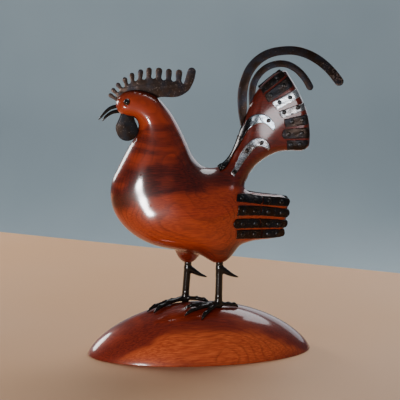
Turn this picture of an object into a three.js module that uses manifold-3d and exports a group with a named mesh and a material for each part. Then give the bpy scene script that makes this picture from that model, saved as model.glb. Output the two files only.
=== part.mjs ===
// Standing rooster in lacquered hardwood and forged iron, on a half-egg wooden base.
// The rooster faces -X, its left side faces -Y and +Z is up.
// The origin is the centre of the base's underside.
import * as THREE from 'three';
import { mergeVertices } from 'three/addons/utils/BufferGeometryUtils.js';
import Module from 'manifold-3d';

const wasm = await Module();
wasm.setup();

// Driving sizes, in millimetres.
const BASE_LENGTH = 205;
const BASE_WIDTH = 96;
const BASE_HEIGHT = 45.8;
const BASE_FULLNESS = 0.72;       // power of the dome: 0.5 is an ellipsoid, 1 a paraboloid
const FIGURE_HEIGHT = 233;        // from the base's crown to the top of the long plume
const BODY_DEPTH = 62;            // widest thickness of the carved bird, left to right
const CLEARANCE = 0.3;            // between any two pieces that touch
const LEG_BAR = 6;                // diameter of the round bar of a leg
const LEG_SEAT = 8;               // how deep a leg is set into its thigh
const TOE_BAR = 3.6;              // diameter of a toe at the ankle
const CLAW_BAR = 1.2;             // diameter of a claw at its point
const BEAK_BAR = 3.4;             // diameter of a beak half where it leaves the head
const BEAK_POINT = 1.2;
const BEAK_TAPER = 1.6;           // above 1 the bar keeps its thickness for longer
const COMB_SHEET = 1.6;
const WATTLE_SHEET = 1.2;
const WATTLE_SPREAD = 13;         // distance between the two wattles' middles
const PLUME_SHEET = 2;
const PLATE_SHEET = 1;
const PLATE_REST = 0.6;           // air under a hammered plate, which touches the wood only here and there
const PLATE_GAP = 0.8;            // between neighbouring plates
const PLATE_LIP = 1.4;            // how far inside the wood's edge a plate stops following it
const RIM_INSET = 0.15;           // how far inside the wood's edge a strap's bend starts
const NAIL_HEAD = 4.2;
const NAIL_RISE = 0.8;
const NAIL_TOP = 0.6;             // top of a nail head as a share of its foot
const NAIL_ROOT = 0.85;           // how far a nail head reaches down, as a share of the sheet
const EYE = 5.8;                  // diameter of the eye bead
const EYE_PROUD = 1.9;            // how far the bead stands out of the wood
const EYE_SPOT = [-65.3, 187.1];
const BEAK_SEAT = 3.5;            // how deep the two beak halves are let into the head

// The carving is drawn in units of which 233 make the figure's height, above the base's crown.
const UNIT = FIGURE_HEIGHT / 233;
const DEPTH_UNIT = BODY_DEPTH / 62;

// Mesh fineness.
const CARVING_CELL = 8.1 * UNIT;
const BASE_RINGS = 8;
const BASE_SIDES = 36;
const BAR_SIDES = 8;
const SOCKET_SIDES = 10;
const TOE_SIDES = 6;
const NAIL_SIDES = 5;
const PLATE_ALONG = [0, 0.64, 1];
const PLATE_ACROSS = [0, 0.15, 0.85, 1];
const STRAP_ACROSS = [0, 0.33, 0.67, 1];

const WOOD = { color: 0x7a2a12, roughness: 0.25, metalness: 0 };
const IRON = { color: 0x2b2624, roughness: 0.45, metalness: 0.9 };
const BRIGHT_IRON = { color: 0xa8a4a0, roughness: 0.3, metalness: 1 };
const EYE_BLACK = { color: 0x0a0a0a, roughness: 0.1, metalness: 0 };

const left = -1;
const right = 1;

// The side view of the carving as [x, z] round its edge, from the beak's root over the back.
const CARVING_OUTLINE = [
  [-74.3, 182.5], [-72.6, 188.8], [-67.2, 194], [-59.8, 195.9], [-51, 195], [-39.5, 190.3], [-27.9, 178.2],
  [-17.9, 161.6], [-11, 147], [-4.2, 133.2], [3.4, 126], [12.5, 124.4], [21.2, 127.4], [28, 134.6],
  [33.9, 147.3], [39.4, 163], [44.8, 180], [51.5, 193.3], [61, 203.5], [70.5, 209.8], [76.2, 211.3],
  [81.1, 205.4], [90.4, 189.1], [96.8, 174.5], [99.2, 161.9], [99.8, 149], [98.9, 142.8], [94.5, 139.4],
  [82, 139.2], [70.2, 137.9], [58, 132], [48.5, 123.7], [43.5, 115], [40.8, 106.8], [43.8, 102.4],
  [51, 100.6], [66, 98.8], [76, 97.6], [79.3, 94.5], [79.3, 80], [77.2, 68], [73.5, 60.5], [64, 58.4],
  [50, 57.2], [38, 53.8], [30, 49.5], [10, 46], [-22.3, 50.6], [-44.9, 56.8], [-58.5, 64.5], [-70, 75.5],
  [-77.3, 88], [-80, 101.9], [-78.6, 113.7], [-72.9, 126.3], [-64, 143.5], [-57, 156], [-54.2, 165],
  [-57.5, 171.2], [-66.5, 173.6], [-72.3, 177],
];

// Half thickness and edge rounding at places of the carving.
const STATIONS = [
  { x: -64, z: 182, half: 12, round: 8.5 },     // head
  { x: -42, z: 168, half: 16, round: 13.5 },    // upper neck
  { x: -36, z: 145, half: 21, round: 22 },      // lower neck
  { x: -68, z: 98, half: 17, round: 24 },       // breast's front
  { x: -48, z: 108, half: 24, round: 30 },      // breast
  { x: -42, z: 82, half: 29, round: 32 },       // breast's lower side
  { x: -14, z: 86, half: 33, round: 38 },       // belly
  { x: -8, z: 120, half: 25, round: 26 },       // shoulders
  { x: 18, z: 90, half: 29, round: 32 },        // flank
  { x: 12, z: 126, half: 15, round: 13 },       // saddle
  { x: 30, z: 118, half: 14, round: 12 },       // root of the tail
  { x: 46, z: 145, half: 11.5, round: 10 },     // tail below the straps' ends
  { x: 62, z: 165, half: 9.5, round: 9 },       // tail
  { x: 76, z: 195, half: 7.5, round: 6 },       // tail's upper corner
  { x: 92, z: 160, half: 6, round: 5 },         // tail's rear edge
  { x: 84, z: 142, half: 6.5, round: 5 },       // tail's lower corner
  { x: 42, z: 80, half: 15, round: 12 },        // root of the rump
  { x: 60, z: 80, half: 9.5, round: 6 },        // rump
  { x: 77, z: 80, half: 5.5, round: 4 },        // rump's end
];
const STATION_REACH = 14;
const THIGH_FILLET = 7;

// Each leg: where the thigh swells, where the bar leaves it, where it stands and where its toes point.
const LEGS = [
  {
    name: 'left_leg', thigh: [16.2, -9.3, 58], swell: [15.5, 12, 19],
    top: [17.2, -9.2], ankle: [16.2, -10.2],
    toes: [[-14.5, -12.5], [-15.5, -21], [-0.8, -26], [34.5, -7]],
  },
  {
    name: 'right_leg', thigh: [-9.3, 9.3, 53.2], swell: [12.5, 11, 18],
    top: [-9.5, 9.2], ankle: [-12.2, 9.4],
    toes: [[-48, -2.5], [-42.5, -9.5], [-36, 20], [8, -4.5]],
  },
];
// A toe from the ankle to its claw, with how far it arches over the wood.
const TOE = [
  { share: 0, radius: TOE_BAR / 2, arch: 0.8 },
  { share: 0.4, radius: TOE_BAR * 0.45, arch: 0.9 },
  { share: 0.9, radius: TOE_BAR * 0.38, arch: 0.9 },
  { share: 1, radius: CLAW_BAR / 2, arch: 0 },
];
const ANKLE_SWELL = 1.15;         // the shank's thickness at the ankle, as a share of the bar
// A spur from the top of the shank as [x, z, radius].
const SPUR_CURVE = [[0, -6.5, 2.4], [3.5, -8, 2.2], [6.5, -9.6, 1.5], [11, -12.2, 0.8], [18, -14.5, 0.24]];

// Bars of the beak halves as [x, z], from inside the head to the point.
const BEAKS = {
  upper_beak: [
    [-74.5 + BEAK_SEAT, 181.6], [-74.5, 181.5], [-79.4, 179.9], [-83.8, 176.3], [-87.2, 172.6],
    [-89.2, 170.2],
  ],
  lower_beak: [
    [-73.2 + BEAK_SEAT, 177.2], [-73.2, 177.2], [-78.4, 175.9], [-82.6, 173], [-85, 170.6], [-86.1, 169],
  ],
};

// Comb: knobs as [x, z, knob radius, neck half width] from the back to the beak, and the notches between.
const PRONGS = [
  [-6.9, 211.4, 3.7, 3.7], [-18.1, 210.6, 2.9, 2.7], [-27.1, 211.6, 2.7, 2.6], [-35.9, 212.4, 3, 2.7],
  [-44.6, 213.2, 2.5, 2.4], [-52, 211.8, 2.3, 2.1], [-59.7, 209, 2.2, 1.9], [-66, 205.2, 2.2, 1.8],
  [-72, 200.6, 2.1, 1.7], [-76.3, 196.1, 1.9, 1.6], [-78.8, 191.5, 1.9, 1.6],
];
const NOTCHES = [
  [-14.2, 200.9], [-23.2, 202.9], [-31.9, 204.1], [-40.9, 205.8], [-48.9, 205], [-56.2, 203.9],
  [-61.8, 201.5], [-66.8, 198.6], [-71.2, 194.9], [-73.6, 190],
];
const KNOB_ARC = [-90, -35, 35, 90];
const NECK_SHARES = [0.16, 0.6];  // where a prong's straight sides start and end, from its root to its knob
const COMB_BACK = [
  [-34.5, 189.2], [-24.4, 188.9], [-19.1, 189.4], [-13.8, 191.7], [-9.3, 195.1], [-6.6, 199.6], [-4.4, 204.9],
];
const COMB_FOOT = [
  [-71.8, 184.8], [-68.4, 189.2], [-65, 191.4], [-59.6, 192.6], [-51.3, 191.7], [-41.5, 187.5],
];

// A wattle is a round lobe whose sides draw in to a narrow top.
const WATTLE = { x: -64.7, z: 161.2, radius: 9.6, neckZ: 170.5, neckFront: 6.2, neckBack: 6.6 };
const WATTLE_TOP = { x: -63.7, z: 177.2, half: 4 };

// Plumes: centre line as [x, z, half width].
const PLUME_CAP = [-60, -30, 0, 30, 60];
const LONG_PLUME = [
  [37.7, 162.5, 0.8], [38.5, 168, 2.6], [38.6, 176, 3.9], [38.3, 185, 4.2], [38.8, 194, 4.3],
  [40.8, 203.2, 4.2], [44.7, 212, 4.2], [50.6, 219.3, 4.1], [58, 224.7, 4], [66.4, 227.8, 3.9],
  [75, 229, 3.9], [84, 229, 3.9], [93, 227, 4], [102, 223, 4.1], [111, 216.9, 4.1], [119, 209.2, 4.1],
  [125.6, 201, 4.1],
];
const SHORT_PLUME = [
  [45.9, 175, 0.8], [46.7, 180, 2.2], [47.2, 186, 3], [47.2, 193, 3], [48.5, 200, 3], [52.1, 206.8, 3],
  [57.8, 212.7, 3], [64.5, 216.2, 3], [72, 217.5, 3.1], [78.8, 216.6, 3.1], [85.5, 213.2, 3.1],
  [91.4, 208, 3.1], [96.2, 201.8, 3.1], [99.2, 196.4, 3.1],
];

// Straps: pairs of edge points [x, z, x, z], front edge first, from the lower end to the hooked end.
// The rim count says how many of the first pairs start at the wood's front edge.
const STRAPS = [
  {
    name: 'upper_strap', rim: 5,
    rungs: [
      [16.5, 126, 17.6, 122.8], [22.6, 129, 22.6, 125.6], [27.5, 134, 27.2, 131.8], [32, 143, 31.4, 139.3],
      [36, 153, 35.6, 146.3], [40.4, 162, 38.4, 151.7], [42.4, 167.8, 41, 157.1], [46, 172, 44.4, 161.6],
      [51.2, 174.1, 49, 165], [56.6, 173.6, 53.8, 166.1], [61.4, 171, 58.2, 164.8], [65.2, 166, 62.2, 161.4],
      [66.6, 159.8, 65.6, 158.4],
    ],
    nails: [[60.4, 168.2], [36.8, 151.6], [20.2, 125]],
  },
  {
    name: 'lower_strap', rim: 0,
    rungs: [
      [26.5, 122, 29.3, 119.1], [30.2, 127.2, 32.9, 124.3], [33, 133, 36, 128.8], [36.8, 140.5, 40.3, 134.7],
      [42.1, 148, 45, 140.3], [47.5, 152.2, 48.6, 144.4], [53.9, 152.6, 53, 144.9], [59, 149.8, 57, 143.9],
      [62, 143.4, 60.4, 141.4],
    ],
    nails: [[54.2, 148.6], [41.4, 141.8], [29.8, 122.8]],
  },
];

// Plates: corners [x, z] as inner top, inner bottom, outer bottom, outer top; how far each end is rounded.
const TAIL_PLATES = [
  {
    corners: [[53.2, 197], [56, 191.8], [75.8, 207.4], [73, 212.4]], ends: [0, 1],
    nails: [[68.5, 206]],
  },
  {
    corners: [[56.6, 190.6], [60.5, 183.8], [82.3, 198.1], [78.1, 207.5]], ends: [1, 1],
    nails: [[74.2, 199.2], [62.6, 190.6]],
  },
  {
    corners: [[63.3, 184.2], [68.6, 177.2], [89, 188.7], [85.4, 195.8]], ends: [0, 1],
    nails: [[79.7, 188.4], [70.3, 184.1]],
  },
  {
    corners: [[69.2, 175.4], [72.7, 169.6], [93.7, 176.6], [92.8, 183.1]], ends: [1, 0.5],
    nails: [[74.6, 175.2], [87.1, 179.2]],
  },
  {
    corners: [[74.8, 168.5], [76.1, 161.4], [96.9, 163.5], [95.9, 172.6]], ends: [0.3, 0.8],
    nails: [[82.1, 166.4], [91.5, 167.6]],
  },
  {
    corners: [[73.2, 159.7], [73.2, 151], [97.9, 151], [97.7, 160.4]], ends: [3, 0.5],
    nails: [[79, 155.4], [91, 155.6]],
  },
  {
    corners: [[77.4, 149.4], [78.3, 141.4], [94.4, 141], [98.3, 149.2]], ends: [0.3, 0.6],
    nails: [[81.6, 145.4], [89.6, 145.6]],
  },
];

// Rump plates: rows of a front and a rear plate that meet at the joint, as [x, z, width] along the middle.
const RUMP_ROWS = [
  {
    start: [31.2, 100.6, 6.6], joint: [56.4, 95.6, 7.2], end: [81.6, 92.4, 7.6], ends: [0.3, 3, 3],
    nails: [[[35.6, 99.8], [49.6, 96.9]], [[62, 95], [73.2, 93.4]]],
  },
  {
    start: [32.2, 89.1, 8.8], joint: [54.6, 86.6, 8.6], end: [81.4, 82.2, 7.8], ends: [-1, 3, 3],
    nails: [[[38.2, 88.5], [48.4, 87.2]], [[61, 85.6], [73.6, 83.6]]],
  },
  {
    start: [28, 77.4, 9], joint: [54, 75.2, 8.4], end: [79.8, 72.8, 6.8], ends: [3.5, 3, 2.5],
    nails: [[[36.6, 76.7], [49, 75.6]], [[61, 74.6], [71, 73.6]]],
  },
  {
    start: [31.4, 66.9, 8], joint: [55.4, 65.3, 7.8], end: [77.2, 64.7, 7.2], ends: [-1, 2, 2],
    nails: [[[36.8, 66.6], [48, 65.8]], [[61, 65.1], [69.6, 64.9]]],
  },
];

// A solid from a geometry, and back.
function solidOf(geometry) {
  const bare = geometry.clone();
  bare.deleteAttribute('normal');
  bare.deleteAttribute('uv');
  const merged = mergeVertices(bare, 1e-5);
  return new wasm.Manifold(new wasm.Mesh({
    numProp: 3,
    vertProperties: new Float32Array(merged.attributes.position.array),
    triVerts: new Uint32Array(merged.index.array),
  }));
}

function geometryOf(solid) {
  const mesh = solid.getMesh();
  const geometry = new THREE.BufferGeometry();
  geometry.setAttribute('position', new THREE.BufferAttribute(new Float32Array(mesh.vertProperties), 3));
  geometry.setIndex([...mesh.triVerts]);
  return geometry;
}

// A closed geometry from points and triangles, turned inside out if its volume comes out negative.
function closedGeometry(points, triangles) {
  let volume = 0;
  for (const [a, b, c] of triangles) {
    volume += points[a].dot(new THREE.Vector3().crossVectors(points[b], points[c]));
  }
  const ordered = volume < 0 ? triangles.map(([a, b, c]) => [a, c, b]) : triangles;
  const geometry = new THREE.BufferGeometry().setFromPoints(points);
  geometry.setIndex(ordered.flat());
  return geometry;
}

// A round bar along points, with a radius at each and flat ends.
function bar(path, radii, sides = BAR_SIDES) {
  const points = [];
  const triangles = [];
  let across = null;
  path.forEach((point, i) => {
    const before = path[Math.max(i - 1, 0)];
    const after = path[Math.min(i + 1, path.length - 1)];
    const along = after.clone().sub(before).normalize();
    if (!across) {
      across = Math.abs(along.y) < 0.9 ? new THREE.Vector3(0, 1, 0) : new THREE.Vector3(1, 0, 0);
    }
    across = across.clone().addScaledVector(along, -across.dot(along)).normalize();
    const up = new THREE.Vector3().crossVectors(along, across);
    for (let k = 0; k < sides; k += 1) {
      const angle = (2 * Math.PI * (k + 0.5)) / sides;
      points.push(point.clone()
        .addScaledVector(across, radii[i] * Math.cos(angle))
        .addScaledVector(up, radii[i] * Math.sin(angle)));
    }
  });
  for (let i = 0; i + 1 < path.length; i += 1) {
    for (let k = 0; k < sides; k += 1) {
      const a = i * sides + k;
      const b = i * sides + ((k + 1) % sides);
      triangles.push([a, b, b + sides], [a, b + sides, a + sides]);
    }
  }
  const last = (path.length - 1) * sides;
  for (let k = 1; k + 1 < sides; k += 1) {
    triangles.push([0, k + 1, k], [last, last + k, last + k + 1]);
  }
  return closedGeometry(points, triangles);
}

// Places in the carving's units, above the base's crown.
const place = (x, z) => [UNIT * x, BASE_HEIGHT + UNIT * z];
const point3 = (x, y, z) => new THREE.Vector3(UNIT * x, UNIT * y, BASE_HEIGHT + UNIT * z);

// A closed curve through points: each span is a cubic whose end slopes are set by the shorter neighbour.
function closedCurve(corners, steps) {
  const count = corners.length;
  const at = (i) => new THREE.Vector2(...corners[(i + count) % count]);
  const slope = (i) => {
    const back = at(i).sub(at(i - 1));
    const ahead = at(i + 1).sub(at(i));
    const lengths = [back.length(), ahead.length()];
    return back.multiplyScalar(lengths[1] / lengths[0])
      .add(ahead.multiplyScalar(lengths[0] / lengths[1]))
      .divideScalar(lengths[0] + lengths[1]);
  };
  const curve = [];
  for (let i = 0; i < count; i += 1) {
    const [from, to] = [at(i), at(i + 1)];
    const length = from.distanceTo(to);
    const [leave, arrive] = [slope(i).multiplyScalar(length), slope(i + 1).multiplyScalar(length)];
    for (let step = 0; step < steps; step += 1) {
      const t = step / steps;
      curve.push(new THREE.Vector2()
        .addScaledVector(from, 2 * t ** 3 - 3 * t ** 2 + 1)
        .addScaledVector(leave, t ** 3 - 2 * t ** 2 + t)
        .addScaledVector(to, -2 * t ** 3 + 3 * t ** 2)
        .addScaledVector(arrive, t ** 3 - t ** 2));
    }
  }
  return curve;
}

const CARVING_CURVE = closedCurve(CARVING_OUTLINE.map(([x, z]) => place(x, z)), 4);

// Smooth distance from the outline, positive inside: the outline's mean distance with the inverse cube as
// its weight, worked out exactly for each straight stretch. It has no ridge in the middle of the shape.
function edgeDistance(x, z) {
  let sum = 0;
  let inside = false;
  for (let i = 0; i < CARVING_CURVE.length; i += 1) {
    const a = CARVING_CURVE[i];
    const b = CARVING_CURVE[(i + 1) % CARVING_CURVE.length];
    const [ax, az, bx, bz] = [a.x - x, a.y - z, b.x - x, b.y - z];
    const length = Math.hypot(bx - ax, bz - az);
    const [tx, tz] = [(bx - ax) / length, (bz - az) / length];
    const off = Math.max((ax * tz - az * tx) ** 2, 1e-8);
    const [fromA, fromB] = [Math.hypot(ax, az) + 1e-9, Math.hypot(bx, bz) + 1e-9];
    const ends = (bx * tx + bz * tz) / fromB - (ax * tx + az * tz) / fromA;
    sum += ends / off;
    if ((az > 0) !== (bz > 0) && ax - (az * (bx - ax)) / (bz - az) > 0) inside = !inside;
  }
  const distance = Math.sqrt(2 / Math.max(sum, 1e-12));
  return inside ? distance : -distance;
}

// Half thickness and rounding at a place, blended between the stations.
function stationBlend(x, z) {
  let [weight, half, round] = [0, 0, 0];
  for (const station of STATIONS) {
    const [sx, sz] = place(station.x, station.z);
    const share = Math.exp(-((x - sx) ** 2 + (z - sz) ** 2) / (2 * (STATION_REACH * UNIT) ** 2)) + 1e-12;
    weight += share;
    half += share * station.half * UNIT * DEPTH_UNIT;
    round += share * station.round * UNIT;
  }
  return { half: half / weight, round: round / weight };
}

function columnAt(x, z) {
  return { edge: edgeDistance(x, z), ...stationBlend(x, z) };
}

function smoothLess(a, b, blend) {
  const overlap = Math.max(blend - Math.abs(a - b), 0) / blend;
  return Math.min(a, b) - (overlap * overlap * blend) / 4;
}

const THIGHS = LEGS.map((leg) => ({
  centre: point3(...leg.thigh),
  radii: new THREE.Vector3(leg.swell[0] * UNIT, leg.swell[1] * UNIT * DEPTH_UNIT, leg.swell[2] * UNIT),
}));

// The carving is where this is below zero: an outline rounded to the middle plane, joined by two thighs.
function carving(point, column = columnAt(point.x, point.z)) {
  const rim = Math.max(0, 1 - column.edge / column.round);
  let value = (Math.hypot(rim, point.y / column.half) - 1) * Math.min(column.half, column.round);
  for (const thigh of THIGHS) {
    const reach = point.clone().sub(thigh.centre).divide(thigh.radii).length();
    const swell = (reach - 1) * Math.min(thigh.radii.x, thigh.radii.y);
    value = smoothLess(value, swell, THIGH_FILLET * UNIT);
  }
  return value;
}

function carvingSlope(point, step = 0.05) {
  const value = carving(point);
  const slope = new THREE.Vector3();
  for (const axis of ['x', 'y', 'z']) {
    const moved = point.clone();
    moved[axis] += step;
    slope[axis] = (carving(moved) - value) / step;
  }
  return { value, slope };
}

function ontoCarving(point, rounds) {
  const moved = point.clone();
  for (let i = 0; i < rounds; i += 1) {
    const { value, slope } = carvingSlope(moved);
    moved.addScaledVector(slope, -value / Math.max(slope.lengthSq(), 1e-6));
  }
  return moved;
}

// Surface nets: one vertex in every cell that the surface crosses, a quad round every crossed grid edge.
function carvingGeometry() {
  const cell = CARVING_CELL;
  const xs = CARVING_CURVE.map((p) => p.x);
  const zs = CARVING_CURVE.map((p) => p.y);
  const halfDepth = (BODY_DEPTH / 2) * UNIT + cell;
  const low = [Math.min(...xs) - cell, -halfDepth, THIGHS[1].centre.z - THIGHS[1].radii.z - cell];
  const high = [Math.max(...xs) + cell, halfDepth, Math.max(...zs) + cell];
  const size = low.map((value, i) => Math.ceil((high[i] - value) / cell) + 1);
  const node = (i, j, k) => (i * size[1] + j) * size[2] + k;
  const where = (i, j, k) => new THREE.Vector3(low[0] + i * cell, low[1] + j * cell, low[2] + k * cell);
  const values = new Float64Array(size[0] * size[1] * size[2]);
  for (let i = 0; i < size[0]; i += 1) {
    for (let k = 0; k < size[2]; k += 1) {
      const column = columnAt(low[0] + i * cell, low[2] + k * cell);
      for (let j = 0; j < size[1]; j += 1) values[node(i, j, k)] = carving(where(i, j, k), column);
    }
  }
  const steps = [[1, 0, 0], [0, 1, 0], [0, 0, 1]];
  const sums = new Map();
  const crossings = [];
  for (let i = 1; i + 1 < size[0]; i += 1) {
    for (let j = 1; j + 1 < size[1]; j += 1) {
      for (let k = 1; k + 1 < size[2]; k += 1) {
        for (let axis = 0; axis < 3; axis += 1) {
          const step = steps[axis];
          const here = values[node(i, j, k)];
          const there = values[node(i + step[0], j + step[1], k + step[2])];
          if ((here < 0) === (there < 0)) continue;
          const share = here / (here - there);
          const cut = where(i, j, k).addScaledVector(new THREE.Vector3(...step), cell * share);
          const [u, v] = [steps[(axis + 1) % 3], steps[(axis + 2) % 3]];
          const ring = [[0, 0], [1, 0], [1, 1], [0, 1]].map(([p, q]) => node(
            i - p * u[0] - q * v[0], j - p * u[1] - q * v[1], k - p * u[2] - q * v[2],
          ));
          crossings.push(here < 0 ? ring : ring.reverse());
          for (const key of ring) {
            if (!sums.has(key)) sums.set(key, { sum: new THREE.Vector3(), count: 0 });
            const entry = sums.get(key);
            entry.sum.add(cut);
            entry.count += 1;
          }
        }
      }
    }
  }
  const order = new Map([...sums.keys()].map((key, index) => [key, index]));
  let points = [...sums.values()].map(({ sum, count }) => ontoCarving(sum.divideScalar(count), 2));
  const quads = crossings.map((ring) => ring.map((key) => order.get(key)));
  points = evenOut(points, quads);
  const triangles = [];
  for (const [a, b, c, d] of quads) {
    const shorter = points[a].distanceTo(points[c]) < points[b].distanceTo(points[d]);
    triangles.push(...(shorter ? [[a, b, c], [a, c, d]] : [[a, b, d], [b, c, d]]));
  }
  return closedGeometry(points, triangles);
}

// Moves each vertex to the mean of its neighbours and back onto the surface, which evens the mesh.
function evenOut(points, quads) {
  const neighbours = points.map(() => new Set());
  for (const ring of quads) {
    ring.forEach((corner, i) => {
      neighbours[corner].add(ring[(i + 1) % 4]);
      neighbours[ring[(i + 1) % 4]].add(corner);
    });
  }
  return points.map((point, i) => {
    const mean = new THREE.Vector3();
    for (const other of neighbours[i]) mean.add(points[other]);
    mean.divideScalar(neighbours[i].size);
    return ontoCarving(mean.lerp(point, 0.5), 3);
  });
}

// A point of the carving's flank with its outward direction. Past the lip a plate runs straight on.
function flank(x, z, side, lip = 0) {
  const column = columnAt(x, z);
  const edge = lip > 0 ? -smoothLess(-column.edge, -lip, lip) : Math.max(column.edge, 0.02);
  const rim = Math.max(0, 1 - edge / column.round);
  return column.half * Math.sqrt(Math.max(0, 1 - rim * rim)) * side;
}

function flankFrame(x, z, side, lip) {
  const step = 0.2;
  const y = flank(x, z, side, lip);
  const slopeX = (flank(x + step, z, side, lip) - flank(x - step, z, side, lip)) / (2 * step);
  const slopeZ = (flank(x, z + step, side, lip) - flank(x, z - step, side, lip)) / (2 * step);
  const out = new THREE.Vector3(-slopeX * side, side, -slopeZ * side).normalize();
  return { point: new THREE.Vector3(x, y, z), out };
}

// A sheet over a grid of surface frames, between two heights above the wood.
function sheetOver(frames, under, over) {
  const rows = frames.length;
  const columns = frames[0].length;
  const lifted = ({ point, out }, height) => point.clone().addScaledVector(out, height);
  const layer = (height) => frames.flat().map((frame) => lifted(frame, height));
  const points = [...layer(under), ...layer(over)];
  const top = rows * columns;
  const triangles = [];
  const quad = (a, b, c, d) => triangles.push([a, b, c], [a, c, d]);
  for (let i = 0; i + 1 < rows; i += 1) {
    for (let j = 0; j + 1 < columns; j += 1) {
      const a = i * columns + j;
      quad(a, a + columns, a + columns + 1, a + 1);
      quad(top + a, top + a + 1, top + a + columns + 1, top + a + columns);
    }
  }
  const border = [];
  for (let j = 0; j < columns - 1; j += 1) border.push(j);
  for (let i = 0; i < rows - 1; i += 1) border.push(i * columns + columns - 1);
  for (let j = columns - 1; j > 0; j -= 1) border.push((rows - 1) * columns + j);
  for (let i = rows - 1; i > 0; i -= 1) border.push(i * columns);
  border.forEach((a, i) => {
    const b = border[(i + 1) % border.length];
    quad(a, b, top + b, top + a);
  });
  return closedGeometry(points, triangles);
}

// A nail head as a low cone frustum, sunk most of the way into the sheet that it holds.
function nailHead({ point, out }) {
  const sheetTop = PLATE_REST + PLATE_SHEET;
  const path = [sheetTop - PLATE_SHEET * NAIL_ROOT, sheetTop + NAIL_RISE]
    .map((height) => point.clone().addScaledVector(out, height));
  const radius = NAIL_HEAD / 2;
  return bar(path, [radius, radius * NAIL_TOP], NAIL_SIDES);
}

// A plate joined with its nail heads, which are given as places [x, z] of the carving.
function nailedSheet(frames, nails) {
  return geometryOf(nails.reduce(
    (sheet, [x, z]) => sheet.add(solidOf(nailHead(frameOn(frames, ...place(x, z))))),
    solidOf(sheetOver(frames, PLATE_REST, PLATE_REST + PLATE_SHEET)),
  ));
}

// What the wood leaves free for a plate.
function plateBed(frames) {
  const top = PLATE_REST + PLATE_SHEET + CLEARANCE;
  return sheetOver(widened(frames, CLEARANCE), PLATE_REST - CLEARANCE, top);
}

// The same grid with its border moved outwards.
function widened(frames, distance) {
  const last = [frames.length - 1, frames[0].length - 1];
  return frames.map((row, i) => row.map(({ point, out }, j) => {
    const moved = point.clone();
    const away = (inner) => point.clone().sub(inner.point).setLength(distance);
    if (i === 0) moved.add(away(frames[1][j]));
    if (i === last[0]) moved.add(away(frames[last[0] - 1][j]));
    if (j === 0) moved.add(away(row[1]));
    if (j === last[1]) moved.add(away(row[last[1] - 1]));
    return { point: moved, out };
  }));
}

const mix = (a, b, t) => a + (b - a) * t;
const mixPair = (a, b, t) => [mix(a[0], b[0], t), mix(a[1], b[1], t)];

// A plate over four corners. A positive rounding draws an end's corners back, a negative one its middle.
function plateFrames({ corners, ends }, side) {
  const [innerTop, innerBottom, outerBottom, outerTop] = corners;
  const frames = [];
  for (const share of PLATE_ALONG) {
    const row = [];
    for (const t of PLATE_ACROSS) {
      const inner = mixPair(innerTop, innerBottom, t);
      const outer = mixPair(outerTop, outerBottom, t);
      const length = Math.hypot(outer[0] - inner[0], outer[1] - inner[1]);
      const bow = 1 - Math.sqrt(Math.max(0, 1 - (2 * t - 1) ** 2));
      const s = mix((ends[0] * bow) / length, 1 - (ends[1] * bow) / length, share);
      row.push(flankFrame(...place(...mixPair(inner, outer, s)), side, PLATE_LIP));
    }
    frames.push(row);
  }
  return frames;
}

// The frame of a sheet's own facets at a place, so that a nail always meets its sheet.
function frameOn(frames, x, z) {
  const spot = new THREE.Vector3(x, 0, z);
  const shares = new THREE.Vector3();
  const flat = ({ point }) => new THREE.Vector3(point.x, 0, point.z);
  for (let i = 0; i + 1 < frames.length; i += 1) {
    for (let j = 0; j + 1 < frames[i].length; j += 1) {
      const [a, b, c, d] = [frames[i][j], frames[i + 1][j], frames[i + 1][j + 1], frames[i][j + 1]];
      for (const corners of [[a, b, c], [a, c, d]]) {
        THREE.Triangle.getBarycoord(spot, ...corners.map(flat), shares);
        if (Math.min(shares.x, shares.y, shares.z) < 0) continue;
        const blend = (key) => corners.reduce(
          (sum, corner, k) => sum.addScaledVector(corner[key], shares.getComponent(k)),
          new THREE.Vector3(),
        );
        return { point: blend('point'), out: blend('out').normalize() };
      }
    }
  }
  throw new Error(`a nail at ${x}, ${z} misses its sheet`);
}

// The corners of a strip between two stations [x, z, width].
function stripCorners(from, to) {
  const length = Math.hypot(to[0] - from[0], to[1] - from[1]);
  const normal = [-(to[1] - from[1]) / length, (to[0] - from[0]) / length];
  const corner = ([x, z, width], sign) => [
    x + (sign * normal[0] * width) / 2,
    z + (sign * normal[1] * width) / 2,
  ];
  return [corner(from, 1), corner(from, -1), corner(to, -1), corner(to, 1)];
}

function rumpPlates(row) {
  const [startEnd, jointEnd, lastEnd] = row.ends;
  const step = PLATE_GAP / UNIT / 2;
  const before = [row.joint[0] - step, row.joint[1], row.joint[2]];
  const after = [row.joint[0] + step, row.joint[1], row.joint[2]];
  return [
    { corners: stripCorners(row.start, before), ends: [startEnd, jointEnd], nails: row.nails[0] },
    { corners: stripCorners(after, row.end), ends: [-jointEnd, lastEnd], nails: row.nails[1] },
  ];
}

// A place moved out to the wood's edge, up the slope of the edge distance.
function atRim(x, z) {
  const spot = new THREE.Vector2(x, z);
  const step = 0.1;
  for (let round = 0; round < 6; round += 1) {
    const edge = edgeDistance(spot.x, spot.y);
    const slope = new THREE.Vector2(
      (edgeDistance(spot.x + step, spot.y) - edge) / step,
      (edgeDistance(spot.x, spot.y + step) - edge) / step,
    );
    spot.addScaledVector(slope, (RIM_INSET - edge) / Math.max(slope.lengthSq(), 0.25));
  }
  return [spot.x, spot.y];
}

// A strap between pairs of edge points. Where it starts at the rim it is bent round the wood's edge.
function strapFrames(strap, side) {
  return strap.rungs.map((rung, i) => {
    const wraps = i < strap.rim;
    const from = wraps ? atRim(...place(rung[0], rung[1])) : place(rung[0], rung[1]);
    const to = place(rung[2], rung[3]);
    return STRAP_ACROSS.map((t) => {
      const eased = wraps ? 1 - Math.cos((t * Math.PI) / 2) : t;
      return flankFrame(...mixPair(from, to, eased), side, 0);
    });
  });
}

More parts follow.
